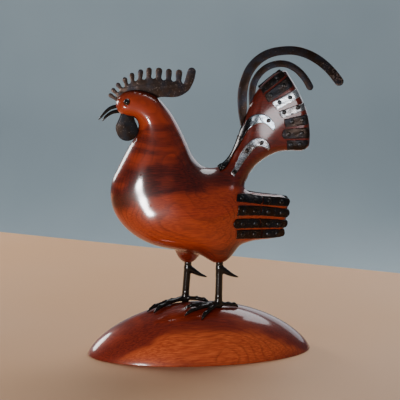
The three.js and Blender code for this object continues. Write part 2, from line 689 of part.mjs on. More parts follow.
// A flat sheet cut to an outline [x, z] in millimetres, upright and centred on a plane of constant y.
function cutSheet(outline, thickness, y = 0) {
  const shape = new THREE.Shape(outline.map(([x, z]) => new THREE.Vector2(x, z)));
  const geometry = new THREE.ExtrudeGeometry(shape, { depth: thickness, bevelEnabled: false });
  geometry.translate(0, 0, -thickness / 2);
  geometry.rotateX(Math.PI / 2);
  geometry.translate(0, y, 0);
  return geometry;
}

// An outline grown outwards by a distance along the mean direction of its neighbouring sides.
function grown(outline, distance) {
  const count = outline.length;
  const turn = outline.reduce((sum, [x, z], i) => {
    const [nx, nz] = outline[(i + 1) % count];
    return sum + (x * nz - nx * z);
  }, 0) > 0 ? 1 : -1;
  return outline.map(([x, z], i) => {
    const [px, pz] = outline[(i + count - 1) % count];
    const [nx, nz] = outline[(i + 1) % count];
    const length = Math.hypot(nx - px, nz - pz);
    return [x + (turn * distance * (nz - pz)) / length, z - (turn * distance * (nx - px)) / length];
  });
}

// The comb's foot inside the head, its back edge, and then its knobbed prongs from the back to the beak.
function combOutline() {
  const points = [...COMB_FOOT, ...COMB_BACK].map(([x, z]) => place(x, z));
  PRONGS.forEach(([x, z, knob, neck], i) => {
    const before = i > 0 ? NOTCHES[i - 1] : COMB_BACK[COMB_BACK.length - 2];
    const after = i < NOTCHES.length ? NOTCHES[i] : COMB_FOOT[0];
    const root = [(before[0] + after[0]) / 2, (before[1] + after[1]) / 2];
    const heading = Math.atan2(z - root[1], x - root[0]);
    const arc = KNOB_ARC.map((degrees) => {
      const angle = heading + THREE.MathUtils.degToRad(degrees);
      return place(x + knob * Math.cos(angle), z + knob * Math.sin(angle));
    });
    const neckSide = (sign) => NECK_SHARES.map((share) => {
      const middle = mixPair(root, [x, z], share);
      return place(
        middle[0] + sign * neck * Math.sin(heading),
        middle[1] - sign * neck * Math.cos(heading),
      );
    });
    if (i > 0) points.push(...neckSide(1));
    points.push(...arc, ...neckSide(-1).reverse());
    if (i < NOTCHES.length) points.push(place(...NOTCHES[i]));
  });
  return points;
}

// The two sides and the round end of a plume.
function plumeOutline(stations) {
  const sides = stations.map(([x, z, half], i) => {
    const before = stations[Math.max(i - 1, 0)];
    const after = stations[Math.min(i + 1, stations.length - 1)];
    return { x, z, half, heading: Math.atan2(after[1] - before[1], after[0] - before[0]) };
  });
  const offset = ({ x, z, half, heading }, angle) => place(
    x + half * Math.cos(heading + angle), z + half * Math.sin(heading + angle),
  );
  const end = sides[sides.length - 1];
  const cap = PLUME_CAP.map((degrees) => offset(end, THREE.MathUtils.degToRad(degrees)));
  return [
    ...sides.map((side) => offset(side, -Math.PI / 2)),
    ...cap,
    ...sides.slice().reverse().map((side) => offset(side, Math.PI / 2)),
  ];
}

// A teardrop that hangs from the jaw.
function wattleOutline() {
  const { x, z, radius, neckZ, neckFront, neckBack } = WATTLE;
  const outline = [];
  for (let degrees = 160; degrees <= 380; degrees += 20) {
    const angle = THREE.MathUtils.degToRad(degrees);
    outline.push(place(x + radius * Math.cos(angle), z + radius * Math.sin(angle)));
  }
  outline.push(place(x + neckBack, neckZ), place(WATTLE_TOP.x + WATTLE_TOP.half, WATTLE_TOP.z));
  outline.push(place(WATTLE_TOP.x - WATTLE_TOP.half, WATTLE_TOP.z), place(x - neckFront, neckZ));
  return outline;
}

function domeHeight(x, y) {
  const reach = (x / (BASE_LENGTH / 2)) ** 2 + (y / (BASE_WIDTH / 2)) ** 2;
  return BASE_HEIGHT * Math.max(0, 1 - reach) ** BASE_FULLNESS;
}

// Half-egg base: rings that close on the crown above and on the middle of the flat underside below.
function baseGeometry() {
  const points = [];
  const triangles = [];
  for (let i = 0; i < BASE_RINGS; i += 1) {
    const angle = ((i + 1) / BASE_RINGS) * (Math.PI / 2);
    for (let k = 0; k < BASE_SIDES; k += 1) {
      const turn = (2 * Math.PI * k) / BASE_SIDES;
      const x = (BASE_LENGTH / 2) * Math.sin(angle) * Math.cos(turn);
      const y = (BASE_WIDTH / 2) * Math.sin(angle) * Math.sin(turn);
      points.push(new THREE.Vector3(x, y, i + 1 < BASE_RINGS ? domeHeight(x, y) : 0));
    }
  }
  const crown = points.push(new THREE.Vector3(0, 0, BASE_HEIGHT)) - 1;
  const under = points.push(new THREE.Vector3(0, 0, 0)) - 1;
  for (let k = 0; k < BASE_SIDES; k += 1) {
    const next = (k + 1) % BASE_SIDES;
    triangles.push([crown, k, next]);
    for (let i = 0; i + 1 < BASE_RINGS; i += 1) {
      const [a, b] = [i * BASE_SIDES + k, i * BASE_SIDES + next];
      triangles.push([a, a + BASE_SIDES, b + BASE_SIDES], [a, b + BASE_SIDES, b]);
    }
    const rim = (BASE_RINGS - 1) * BASE_SIDES;
    triangles.push([under, rim + next, rim + k]);
  }
  return closedGeometry(points, triangles);
}

function beakGeometry(route, extra = 0) {
  const path = route.map(([x, z]) => point3(x, 0, z));
  const taper = (i) => (Math.max(i - 1, 0) / (route.length - 2)) ** BEAK_TAPER;
  const radii = route.map((_, i) => mix(BEAK_BAR, BEAK_POINT, taper(i)) / 2);
  return bar(path, radii.map((radius) => radius + extra));
}

// A leg: shank, spur and toes forged into one. The toes lie on the dome with the clearance under them.
function legRoute(leg) {
  const thigh = point3(...leg.thigh);
  const bottom = thigh.z - leg.swell[2] * UNIT;
  const [topX, topY] = leg.top.map((value) => value * UNIT);
  const [footX, footY] = leg.ankle.map((value) => value * UNIT);
  const ankleHeight = domeHeight(footX, footY) + CLEARANCE + TOE_BAR / 2;
  const lower = new THREE.Vector3(footX, footY, ankleHeight);
  const upper = new THREE.Vector3(topX, topY, bottom);
  const seated = upper.clone().addScaledVector(upper.clone().sub(lower).normalize(), LEG_SEAT);
  return { lower, upper, seated };
}

function toeBar(ankle, [tipX, tipY]) {
  const path = TOE.map(({ share, radius, arch }) => {
    const x = mix(ankle.x, tipX * UNIT, share);
    const y = mix(ankle.y, tipY * UNIT, share);
    const step = 0.5;
    const slope = (domeHeight(x, y) - domeHeight(x + step, y + step)) / step;
    const lift = (radius + CLEARANCE) * Math.hypot(1, slope);
    return new THREE.Vector3(x, y, domeHeight(x, y) + lift + arch);
  });
  return bar(path, TOE.map(({ radius }) => radius), TOE_SIDES);
}

function legGeometry(leg) {
  const { lower, upper, seated } = legRoute(leg);
  const path = [
    lower, lower.clone().lerp(upper, 0.2), upper,
    seated.clone().lerp(upper, CLEARANCE / LEG_SEAT),
  ];
  const radius = LEG_BAR / 2;
  const shank = bar(path, [radius * ANKLE_SWELL, radius, radius, radius]);
  const spurPath = SPUR_CURVE.map(([x, z]) => upper.clone().add(new THREE.Vector3(x * UNIT, 0, z * UNIT)));
  const spur = bar(spurPath, SPUR_CURVE.map(([, , spurRadius]) => spurRadius * UNIT), TOE_SIDES);
  const joined = [spur, ...leg.toes.map((tip) => toeBar(lower, tip))];
  return geometryOf(joined.reduce((solid, branch) => solid.add(solidOf(branch)), solidOf(shank)));
}

function legSocket(leg) {
  const { lower, upper, seated } = legRoute(leg);
  const below = upper.clone().addScaledVector(lower.clone().sub(upper).normalize(), LEG_SEAT);
  const radius = LEG_BAR / 2 + CLEARANCE;
  return bar([below, seated], [radius, radius], SOCKET_SIDES);
}

function eyeCentre(side) {
  const { point, out } = flankFrame(...place(...EYE_SPOT), side, 0);
  return point.clone().addScaledVector(out, EYE_PROUD - EYE / 2);
}

function eyeGeometry(side, extra = 0) {
  const geometry = new THREE.SphereGeometry(EYE / 2 + extra, 10, 6);
  const centre = eyeCentre(side);
  geometry.translate(centre.x, centre.y, centre.z);
  return geometry;
}

// The carving with the seats of everything that is let into it.
function bodyGeometry() {
  const sheets = [
    cutSheet(grown(combOutline(), CLEARANCE), COMB_SHEET + 2 * CLEARANCE),
    cutSheet(grown(plumeOutline(LONG_PLUME), CLEARANCE), PLUME_SHEET + 2 * CLEARANCE),
    cutSheet(grown(plumeOutline(SHORT_PLUME), CLEARANCE), PLUME_SHEET + 2 * CLEARANCE),
    ...[left, right].map((side) => cutSheet(
      grown(wattleOutline(), CLEARANCE), WATTLE_SHEET + 2 * CLEARANCE, (side * WATTLE_SPREAD) / 2,
    )),
  ];
  const cutters = [
    ...sheets,
    ...Object.values(BEAKS).map((route) => beakGeometry(route, CLEARANCE)),
    ...LEGS.map(legSocket),
    ...[left, right].map((side) => eyeGeometry(side, CLEARANCE)),
  ];
  const wood = cutters.reduce((rest, cutter) => rest.subtract(solidOf(cutter)), solidOf(carvingGeometry()));
  return geometryOf(withBeds(wood));
}

// The wood is hollowed a little under each plate that would press into it.
function withBeds(wood) {
  const plates = [...TAIL_PLATES, ...RUMP_ROWS.flatMap(rumpPlates)];
  const grids = [left, right].flatMap((side) => [
    ...STRAPS.map((strap) => strapFrames(strap, side)),
    ...plates.map((plate) => plateFrames(plate, side)),
  ]);
  return grids.reduce((rest, frames) => {
    const sheet = solidOf(sheetOver(frames, PLATE_REST, PLATE_REST + PLATE_SHEET));
    return rest.intersect(sheet).volume() > 0 ? rest.subtract(solidOf(plateBed(frames))) : rest;
  }, wood);
}

const rooster = new THREE.Group();

function addPiece(name, geometry, finish) {
  const flat = geometry.index ? geometry.toNonIndexed() : geometry;
  flat.computeVertexNormals();
  const mesh = new THREE.Mesh(flat, new THREE.MeshStandardMaterial(finish));
  mesh.name = name;
  rooster.add(mesh);
}

addPiece('base', baseGeometry(), WOOD);
addPiece('body', bodyGeometry(), WOOD);
addPiece('comb', cutSheet(combOutline(), COMB_SHEET), IRON);
addPiece('long_plume', cutSheet(plumeOutline(LONG_PLUME), PLUME_SHEET), IRON);
addPiece('short_plume', cutSheet(plumeOutline(SHORT_PLUME), PLUME_SHEET), IRON);
for (const [name, route] of Object.entries(BEAKS)) addPiece(name, beakGeometry(route), IRON);
for (const leg of LEGS) addPiece(leg.name, legGeometry(leg), IRON);
for (const [label, side] of [['left', left], ['right', right]]) {
  addPiece(`${label}_eye`, eyeGeometry(side), EYE_BLACK);
  addPiece(`${label}_wattle`, cutSheet(wattleOutline(), WATTLE_SHEET, (side * WATTLE_SPREAD) / 2), IRON);
  for (const strap of STRAPS) {
    addPiece(`${label}_${strap.name}`, nailedSheet(strapFrames(strap, side), strap.nails), BRIGHT_IRON);
  }
  const addPlates = (plates, kind) => plates.forEach((plate, i) => {
    addPiece(`${label}_${kind}_${i + 1}`, nailedSheet(plateFrames(plate, side), plate.nails), IRON);
  });
  addPlates(TAIL_PLATES, 'tail_plate');
  addPlates(RUMP_ROWS.flatMap(rumpPlates), 'rump_plate');
}

export default rooster;
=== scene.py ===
"""Rooster sculpture in lacquered hardwood and forged iron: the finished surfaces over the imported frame.

Lengths are in millimetres until a mesh is made, in the row frame: the rooster faces -X, its left side
faces -Y, +Z is up, and the origin is the centre of the base's underside.
"""

from __future__ import annotations

import logging
import math
from dataclasses import dataclass, field
from enum import Enum

import bpy
import numpy as np
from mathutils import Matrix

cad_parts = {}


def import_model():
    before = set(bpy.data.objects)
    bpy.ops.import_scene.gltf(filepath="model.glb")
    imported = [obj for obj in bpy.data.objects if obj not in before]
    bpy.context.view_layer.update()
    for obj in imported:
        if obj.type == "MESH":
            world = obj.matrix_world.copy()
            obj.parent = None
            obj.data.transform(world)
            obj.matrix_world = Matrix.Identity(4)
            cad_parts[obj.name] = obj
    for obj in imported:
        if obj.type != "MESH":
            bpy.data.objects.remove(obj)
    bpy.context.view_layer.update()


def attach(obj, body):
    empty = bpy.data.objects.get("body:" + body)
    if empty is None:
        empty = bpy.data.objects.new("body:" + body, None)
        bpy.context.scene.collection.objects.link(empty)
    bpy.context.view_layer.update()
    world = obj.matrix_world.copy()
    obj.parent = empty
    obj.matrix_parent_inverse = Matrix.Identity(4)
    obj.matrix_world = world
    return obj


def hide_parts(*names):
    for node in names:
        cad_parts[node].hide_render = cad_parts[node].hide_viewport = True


LOG = logging.getLogger("rooster")
MM = 0.001
CROWN = 45.8
LEFT = -1
RIGHT = 1
SIDES = {"left": LEFT, "right": RIGHT}


class Slot(Enum):
    """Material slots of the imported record."""

    WOOD = "lacquered_wood"
    IRON = "forged_iron"
    BRIGHT = "bright_iron"
    BEAD = "eye_bead"


class Metal(Enum):
    """How far the fire scale is ground off a piece of iron."""

    DARK = "dark"
    GREY = "grey"
    BRIGHT = "bright"


# Carving table: the side view round its edge as [x, z above the base's crown], from the beak over the back.
OUTLINE = np.array([
    [-74.3, 182.5], [-72.6, 188.8], [-67.2, 194], [-59.8, 195.9], [-51, 195], [-39.5, 190.3],
    [-27.9, 178.2], [-17.9, 161.6], [-11, 147], [-4.2, 133.2], [3.4, 126], [12.5, 124.4], [21.2, 127.4],
    [28, 134.6], [33.9, 147.3], [39.4, 163], [44.8, 180], [51.5, 193.3], [61, 203.5], [70.5, 209.8],
    [76.2, 211.3], [81.1, 205.4], [90.4, 189.1], [96.8, 174.5], [99.2, 161.9], [99.8, 149], [98.9, 142.8],
    [94.5, 139.4], [82, 139.2], [70.2, 137.9], [58, 132], [48.5, 123.7], [43.5, 115], [40.8, 106.8],
    [43.8, 102.4], [51, 100.6], [66, 98.8], [76, 97.6], [79.3, 94.5], [79.3, 80], [77.2, 68],
    [73.5, 60.5], [64, 58.4], [50, 57.2], [38, 53.8], [30, 49.5], [10, 46], [-22.3, 50.6], [-44.9, 56.8],
    [-58.5, 64.5], [-70, 75.5], [-77.3, 88], [-80, 101.9], [-78.6, 113.7], [-72.9, 126.3], [-64, 143.5],
    [-57, 156], [-54.2, 165], [-57.5, 171.2], [-66.5, 173.6], [-72.3, 177],
])
# x, z, half thickness and edge rounding: head, neck, breast, belly, shoulders, saddle, tail and rump.
STATIONS = np.array([
    [-64, 182, 12, 8.5], [-42, 168, 16, 13.5], [-36, 145, 21, 22], [-68, 98, 17, 24], [-48, 108, 24, 30],
    [-42, 82, 29, 32], [-14, 86, 33, 38], [-8, 120, 25, 26], [18, 90, 29, 32], [12, 126, 15, 13],
    [30, 118, 14, 12], [46, 145, 11.5, 10], [62, 165, 9.5, 9], [76, 195, 7.5, 6], [92, 160, 6, 5],
    [84, 142, 6.5, 5], [42, 80, 15, 12], [60, 80, 9.5, 6], [77, 80, 5.5, 4],
])
STATION_REACH = 14.0
EYE_SPOT = np.array([[-65.3, 187.1]])


@dataclass
class Surface:
    """A mesh in the making: points in millimetres, and arrays of faces with three or more corners.

    Each array of faces has a mark, the number of the material that it takes.
    """

    points: np.ndarray
    faces: list[np.ndarray]
    normals: np.ndarray | None = None
    marks: list[int] = field(default_factory=list)

    def __post_init__(self) -> None:
        """Marks every array of faces 0 where no marks are given."""
        self.marks = self.marks or [0] * len(self.faces)

    @staticmethod
    def joined(parts: list["Surface"]) -> "Surface":
        """Puts several surfaces into one, with no normals of their own.

        Args:
            parts: The surfaces to join.

        Returns:
            One surface with all points and faces.
        """
        starts = np.cumsum([0] + [len(part.points) for part in parts[:-1]])
        faces = [face + start for part, start in zip(parts, starts) for face in part.faces]
        marks = [mark for part in parts for mark in part.marks]
        return Surface(np.vstack([part.points for part in parts]), faces, None, marks)


def mix(low: np.ndarray | float, high: np.ndarray | float, share: np.ndarray | float) -> np.ndarray:
    """Returns the blend of two values: low at share 0 and high at share 1."""
    return low + (high - low) * share


def smooth_step(value: np.ndarray, low: float, high: float) -> np.ndarray:
    """Returns 0 below low and 1 above high, with a cubic between."""
    share = np.clip((value - low) / (high - low), 0, 1)
    return share * share * (3 - 2 * share)


def unit(vectors: np.ndarray) -> np.ndarray:
    """Returns the vectors scaled to length 1 along the last axis."""
    return vectors / np.maximum(np.linalg.norm(vectors, axis=-1, keepdims=True), 1e-12)


def smooth_less(first: np.ndarray, second: np.ndarray, width: float) -> np.ndarray:
    """Returns the lesser of two fields, rounded where they are nearer than width."""
    overlap = np.maximum(width - np.abs(first - second), 0) / width
    return np.minimum(first, second) - overlap * overlap * width / 4


def grid_faces(rows: int, columns: int, closed: bool = False) -> np.ndarray:
    """Lists the quads of a grid of points.

    Args:
        rows: Number of rows.
        columns: Points in each row.
        closed: Whether the last column joins the first.

    Returns:
        An array of quads.
    """
    index = np.arange(rows * columns).reshape(rows, columns)
    if closed:
        index = np.hstack([index, index[:, :1]])
    corners = [index[:-1, :-1], index[:-1, 1:], index[1:, 1:], index[1:, :-1]]
    return np.stack(corners, axis=-1).reshape(-1, 4)


def smooth_curve(points: np.ndarray, steps: int, closed: bool) -> np.ndarray:
    """Runs a curve through points: each span is a cubic, with slopes set by the shorter neighbour.

    Args:
        points: The points, one row each, with any number of values to a row.
        steps: Points in each span.
        closed: Whether the curve returns to its first point.

    Returns:
        The points of the curve.
    """
    if not closed:
        points = np.vstack([2 * points[0] - points[1], points, 2 * points[-1] - points[-2]])
    back = points - np.roll(points, 1, 0)
    ahead = np.roll(points, -1, 0) - points
    back_length = np.linalg.norm(back[:, :2], axis=1, keepdims=True)
    ahead_length = np.linalg.norm(ahead[:, :2], axis=1, keepdims=True)
    slope = (back / back_length * ahead_length + ahead / ahead_length * back_length)
    slope = slope / (back_length + ahead_length)
    share = (np.arange(steps) / steps)[None, :, None]
    leave = (slope * ahead_length)[:, None]
    arrive = (np.roll(slope, -1, 0) * ahead_length)[:, None]
    start = points[:, None]
    end = np.roll(points, -1, 0)[:, None]
    curve = (
        (2 * share**3 - 3 * share**2 + 1) * start + (share**3 - 2 * share**2 + share) * leave
        + (3 * share**2 - 2 * share**3) * end + (share**3 - share**2) * arrive
    )
    if closed:
        return curve.reshape(-1, points.shape[1])
    return np.vstack([curve[1:-2].reshape(-1, points.shape[1]), points[-2]])


def surface_nets(values: np.ndarray, low: np.ndarray, cell: float) -> Surface:
    """Turns a field on a grid into its zero surface.

    Every cell that the surface crosses gets one vertex, the mean of its edges' crossings, and every
    crossed grid edge a quad that joins the four cells round it.

    Args:
        values: The field on the grid, negative inside.
        low: The grid's lowest corner.
        cell: The grid's step.

    Returns:
        The surface, faces out.
    """
    total = np.zeros([size - 1 for size in values.shape] + [3])
    count = np.zeros(total.shape[:3])
    grid = np.stack(np.meshgrid(*[np.arange(size) for size in values.shape], indexing="ij"), -1)
    crossings = []
    for axis in range(3):
        near = [slice(None)] * 3
        far = [slice(None)] * 3
        near[axis] = slice(0, -1)
        far[axis] = slice(1, None)
        here = values[tuple(near)]
        there = values[tuple(far)]
        crossed = (here < 0) != (there < 0)
        place = grid[tuple(near)].astype(float)
        place[..., axis] += np.where(crossed, here / np.where(crossed, here - there, 1), 0)
        crossings.append((crossed, here < 0))
        others = [other for other in range(3) if other != axis]
        for first in (slice(1, None), slice(0, -1)):
            for second in (slice(1, None), slice(0, -1)):
                part = [slice(None)] * 3
                part[others[0]] = first
                part[others[1]] = second
                total += np.where(crossed[tuple(part)][..., None], place[tuple(part)], 0)
                count += crossed[tuple(part)]
    active = count > 0
    index = np.full(active.shape, -1)
    index[active] = np.arange(active.sum())
    quads = []
    for axis in range(3):
        crossed, inside = crossings[axis]
        others = [other for other in range(3) if other != axis]
        inner = [slice(None)] * 3
        inner[others[0]] = slice(1, -1)
        inner[others[1]] = slice(1, -1)
        cells = np.argwhere(crossed[tuple(inner)])
        cells[:, others] += 1
        ring = []
        for steps in ((0, 0), (1, 0), (1, 1), (0, 1)):
            moved = cells.copy()
            moved[:, others] -= steps
            ring.append(index[tuple(moved.T)])
        ring = np.stack(ring, 1)
        turned = inside[tuple(cells.T)] == (axis != 1)
        quads.append(np.where(turned[:, None], ring, ring[:, ::-1]))
    points = low + cell * total[active] / count[active][:, None]
    return Surface(points, [np.vstack(quads)])


class Field:
    """A shape as a field that is negative inside, about as steep as distance near the surface."""

    def value(self, points: np.ndarray) -> np.ndarray:
        """Returns the field at points, one row each."""
        raise NotImplementedError

    def slope(self, points: np.ndarray, value: np.ndarray, step: float = 0.05) -> np.ndarray:
        """Returns the field's gradient at points, from steps along each axis."""
        moves = np.eye(3) * step
        return np.stack([(self.value(points + move) - value) / step for move in moves], 1)

    def onto(self, points: np.ndarray, rounds: int) -> np.ndarray:
        """Moves points to the zero surface, each round down the slope by value over steepness.

        Args:
            points: Points near the surface, one row each.
            rounds: How many moves, of 2 mm at most.

        Returns:
            The moved points.
        """
        for _ in range(rounds):
            value = self.value(points)
            slope = self.slope(points, value)
            move = slope * (value / np.maximum((slope**2).sum(1), 1e-6))[:, None]
            length = np.linalg.norm(move, axis=1, keepdims=True)
            points = points - move * np.minimum(1, 2 / np.maximum(length, 1e-9))
        return points

    def skin(self, values: np.ndarray, low: np.ndarray, cell: float) -> Surface:
        """Makes the even skin of the shape, with true normals.

        Args:
            values: The field on a grid.
            low: The grid's lowest corner.
            cell: The grid's step.

        Returns:
            The surface with its normals.
        """
        surface = surface_nets(values, low, cell)
        quads = surface.faces[0]
        points = self.onto(surface.points, 1)
        edges = np.vstack([quads[:, [0, 1]], quads[:, [1, 2]], quads[:, [2, 3]], quads[:, [3, 0]]])
        both = np.vstack([edges, edges[:, ::-1]])
        number = np.bincount(both[:, 0], minlength=len(points))[:, None]
        for _ in range(3):
            total = [np.bincount(both[:, 0], points[both[:, 1], axis], len(points)) for axis in range(3)]
            points = mix(points, np.stack(total, 1) / number, 0.6)
        points = self.onto(points, 2)
        normals = unit(self.slope(points, self.value(points)))
        return Surface(points, [quads], normals)


@dataclass(frozen=True)
class Thigh:
    """A swell of the belly from which a leg leaves."""

    centre: tuple[float, float, float]
    radii: tuple[float, float, float]


@dataclass
class Carving(Field):
    """The wooden bird: its side view rounded to the middle plane, joined by two thighs.

    With D the smooth distance to the outline, T the half thickness and R the rounding, a point's value
    is (hypot(max(0, 1 - D / R), y / T) - 1) * min(T, R). D is the square root of 2 over the sum of the
    exact integrals of the inverse cube of distance along each stretch of the outline. An eye socket is
    a ball taken away, with its centre off the wood.
    """

    cell: float = 1.45
    margin: float = 3.0
    side_margin: float = 2.0
    lowest: float = 32.0
    fillet: float = 7.0
    socket_radius: float = 4.3
    socket_off: float = 2.4
    socket_rim: float = 0.6
    thighs: tuple[Thigh, ...] = (
        Thigh((16.2, -9.3, 58), (15.5, 12, 19)),
        Thigh((-9.3, 9.3, 53.2), (12.5, 11, 18)),
    )
    curve: np.ndarray = field(init=False)
    sockets: np.ndarray = field(init=False)

    def __post_init__(self) -> None:
        """Rounds the outline, and starts with no eye sockets."""
        self.curve = smooth_curve(OUTLINE, 4, True) + [0, CROWN]
        self.sockets = np.zeros((0, 3))

    def edge(self, x: np.ndarray, z: np.ndarray) -> np.ndarray:
        """Returns the smooth distance from the outline at places of the side view, positive inside.

        Args:
            x: Places along the row.
            z: Their heights above the base's underside.

        Returns:
            Distances, negative outside.
        """
        start = self.curve
        end = np.roll(start, -1, 0)
        along = unit(end - start)
        ax, az = start[:, 0] - x[:, None], start[:, 1] - z[:, None]
        bx, bz = end[:, 0] - x[:, None], end[:, 1] - z[:, None]
        far_a = np.hypot(ax, az) + 1e-9
        far_b = np.hypot(bx, bz) + 1e-9
        off = np.maximum((ax * along[:, 1] - az * along[:, 0]) ** 2, 1e-8)
        ends = (bx * along[:, 0] + bz * along[:, 1]) / far_b - (ax * along[:, 0] + az * along[:, 1]) / far_a
        distance = np.sqrt(2 / np.maximum((ends / off).sum(1), 1e-12))
        rise = np.where(np.abs(bz - az) < 1e-12, 1e-12, bz - az)
        crossed = ((az > 0) != (bz > 0)) & (ax - az * (bx - ax) / rise > 0)
        return np.where(crossed.sum(1) % 2 == 1, distance, -distance)

    def blend(self, x: np.ndarray, z: np.ndarray) -> tuple[np.ndarray, np.ndarray]:
        """Returns half thickness and rounding at places, as the stations' mean with bell-shaped weights.

        Args:
            x: Places along the row.
            z: Their heights above the base's underside.

        Returns:
            Half thickness and rounding at each place.
        """
        gap = (x[:, None] - STATIONS[:, 0]) ** 2 + (z[:, None] - CROWN - STATIONS[:, 1]) ** 2
        weight = np.exp(-gap / (2 * STATION_REACH**2)) + 1e-12
        weight = weight / weight.sum(1, keepdims=True)
        return weight @ STATIONS[:, 2], weight @ STATIONS[:, 3]

    def column(self, x: np.ndarray, z: np.ndarray) -> tuple[np.ndarray, np.ndarray, np.ndarray]:
        """Returns distance, half thickness and rounding at places of the side view, worked in parts.

        Args:
            x: Places along the row.
            z: Their heights above the base's underside.

        Returns:
            Distance, half thickness and rounding at each place.
        """
        parts = np.array_split(np.arange(len(x)), max(1, len(x) // 8000))
        distance = np.concatenate([self.edge(x[part], z[part]) for part in parts])
        return (distance, *self.blend(x, z))

    def shape(self, points: np.ndarray, column: tuple[np.ndarray, ...]) -> np.ndarray:
        """Returns the field at points whose side-view values are already known.

        Args:
            points: Points, one row each.
            column: Distance, half thickness and rounding at each point.

        Returns:
            The field, negative inside.
        """
        distance, half, rounding = column
        rim = np.maximum(0, 1 - distance / rounding)
        value = (np.hypot(rim, points[:, 1] / half) - 1) * np.minimum(half, rounding)
        for thigh in self.thighs:
            away = (points - np.array(thigh.centre) - [0, 0, CROWN]) / np.array(thigh.radii)
            swell = (np.linalg.norm(away, axis=1) - 1) * min(thigh.radii)
            value = smooth_less(value, swell, self.fillet)
        for centre in self.sockets:
            hollow = self.socket_radius - np.linalg.norm(points - centre, axis=1)
            value = -smooth_less(-value, -hollow, self.socket_rim)
        return value

    def value(self, points: np.ndarray) -> np.ndarray:
        """Returns the field at points."""
        return self.shape(points, self.column(points[:, 0], points[:, 2]))

    def flank(self, places: np.ndarray, lip: float = 0.0) -> np.ndarray:
        """Returns half the carving's thickness at places [x, z], running straight on past a lip.

        Args:
            places: Places of the side view, one row each.
            lip: How far inside the edge a plate stops following the wood.

        Returns:
            Half the thickness at each place.
        """
        edge, half, rounding = self.column(places[:, 0], places[:, 1])
        if lip > 0:
            edge = -smooth_less(-edge, np.full_like(edge, -lip), lip)
        rim = np.maximum(0, 1 - np.maximum(edge, 0.02) / rounding)
        return half * np.sqrt(np.maximum(0, 1 - rim * rim))

    def frames(self, places: np.ndarray, side: int, lip: float = 0.0) -> tuple[np.ndarray, np.ndarray]:
        """Finds points on the flank and their outward directions.

        Args:
            places: Places [x, z] of the side view, in any grid.
            side: LEFT or RIGHT.
            lip: How far inside the edge a plate stops following the wood.

        Returns:
            Points and directions, in the same grid.
        """
        flat = places.reshape(-1, 2)
        step = 0.2
        depth = self.flank(flat, lip)
        slopes = [
            (self.flank(flat + move, lip) - self.flank(flat - move, lip)) / (2 * step)
            for move in np.eye(2) * step
        ]
        points = np.stack([flat[:, 0], side * depth, flat[:, 1]], 1)
        out = unit(np.stack([-slopes[0], np.full_like(depth, side), -slopes[1]], 1))
        return points.reshape(*places.shape[:-1], 3), out.reshape(*places.shape[:-1], 3)

    def at_rim(self, places: np.ndarray, inset: float = 0.15) -> np.ndarray:
        """Moves places [x, z] out to just inside the wood's edge, up the slope of the edge distance.

        Args:
            places: Places near the edge, one row each.
            inset: How far inside the edge they end.

        Returns:
            The moved places.
        """
        step = 0.1
        for _ in range(6):
            edge = self.edge(places[:, 0], places[:, 1])
            moved = [self.edge(*(places + move).T) for move in np.eye(2) * step]
            slope = (np.stack(moved, 1) - edge[:, None]) / step
            share = (inset - edge) / np.maximum((slope**2).sum(1), 0.25)
            places = places + slope * share[:, None]
        return places

    def surface(self) -> Surface:
        """Makes the skin of the whole carving, with its eye sockets.

        Returns:
            The surface with its normals.
        """
        centres, out = self.frames(np.repeat(EYE_SPOT, 2, 0) + [0, CROWN], RIGHT)
        sides = np.array([LEFT, RIGHT])[:, None]
        turned = np.hstack([out[:, :1], out[:, 1:2] * sides, out[:, 2:]])
        spots = np.hstack([centres[:, :1], centres[:, 1:2] * sides, centres[:, 2:]])
        self.sockets = spots + self.socket_off * turned
        depth = STATIONS[:, 2].max() + self.side_margin
        rear, top = OUTLINE.max(0) + self.margin
        low = np.array([OUTLINE[:, 0].min() - self.margin, -depth, CROWN + self.lowest])
        high = np.array([rear, depth, CROWN + top])
        axes = [np.arange(start, end + self.cell, self.cell) for start, end in zip(low, high)]
        x, z = [part.ravel() for part in np.meshgrid(axes[0], axes[2], indexing="ij")]
        column = self.column(x, z)
        layers = []
        for y in axes[1]:
            layers.append(self.shape(np.stack([x, np.full_like(x, y), z], 1), column))
        values = np.stack(layers, 1).reshape(len(axes[0]), len(axes[2]), len(axes[1])).transpose(0, 2, 1)
        return self.skin(values, low, self.cell)


@dataclass(frozen=True)
class Piece:
    """A finished piece of the sculpture, as it is put into the scene."""

    name: str
    surface: Surface
    materials: tuple[bpy.types.Material, ...]
    slot: Slot
    nodes: tuple[str, ...]
    sharp: float | None = None

    def place(self) -> None:
        """Makes the piece's object, in metres, riding on the row's one body."""
        mesh = bpy.data.meshes.new(self.name)
        faces = [face for group in self.surface.faces for face in group.tolist()]
        mesh.from_pydata(self.surface.points * MM, [], faces)
        mesh.polygons.foreach_set("use_smooth", np.ones(len(faces), bool))
        for material in self.materials:
            mesh.materials.append(material)
        marks = np.repeat(self.surface.marks, [len(group) for group in self.surface.faces])
        mesh.polygons.foreach_set("material_index", np.minimum(marks, len(self.materials) - 1))
        mesh.update()
        if self.surface.normals is not None:
            mesh.normals_split_custom_set_from_vertices(self.surface.normals)
        if self.sharp is not None:
            mesh.set_sharp_from_angle(angle=math.radians(self.sharp))
        piece = bpy.data.objects.new(self.name, mesh)
        bpy.context.scene.collection.objects.link(piece)
        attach(piece, "root")
        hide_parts(*self.nodes)
        LOG.info("%s: %d faces", self.name, len(faces))


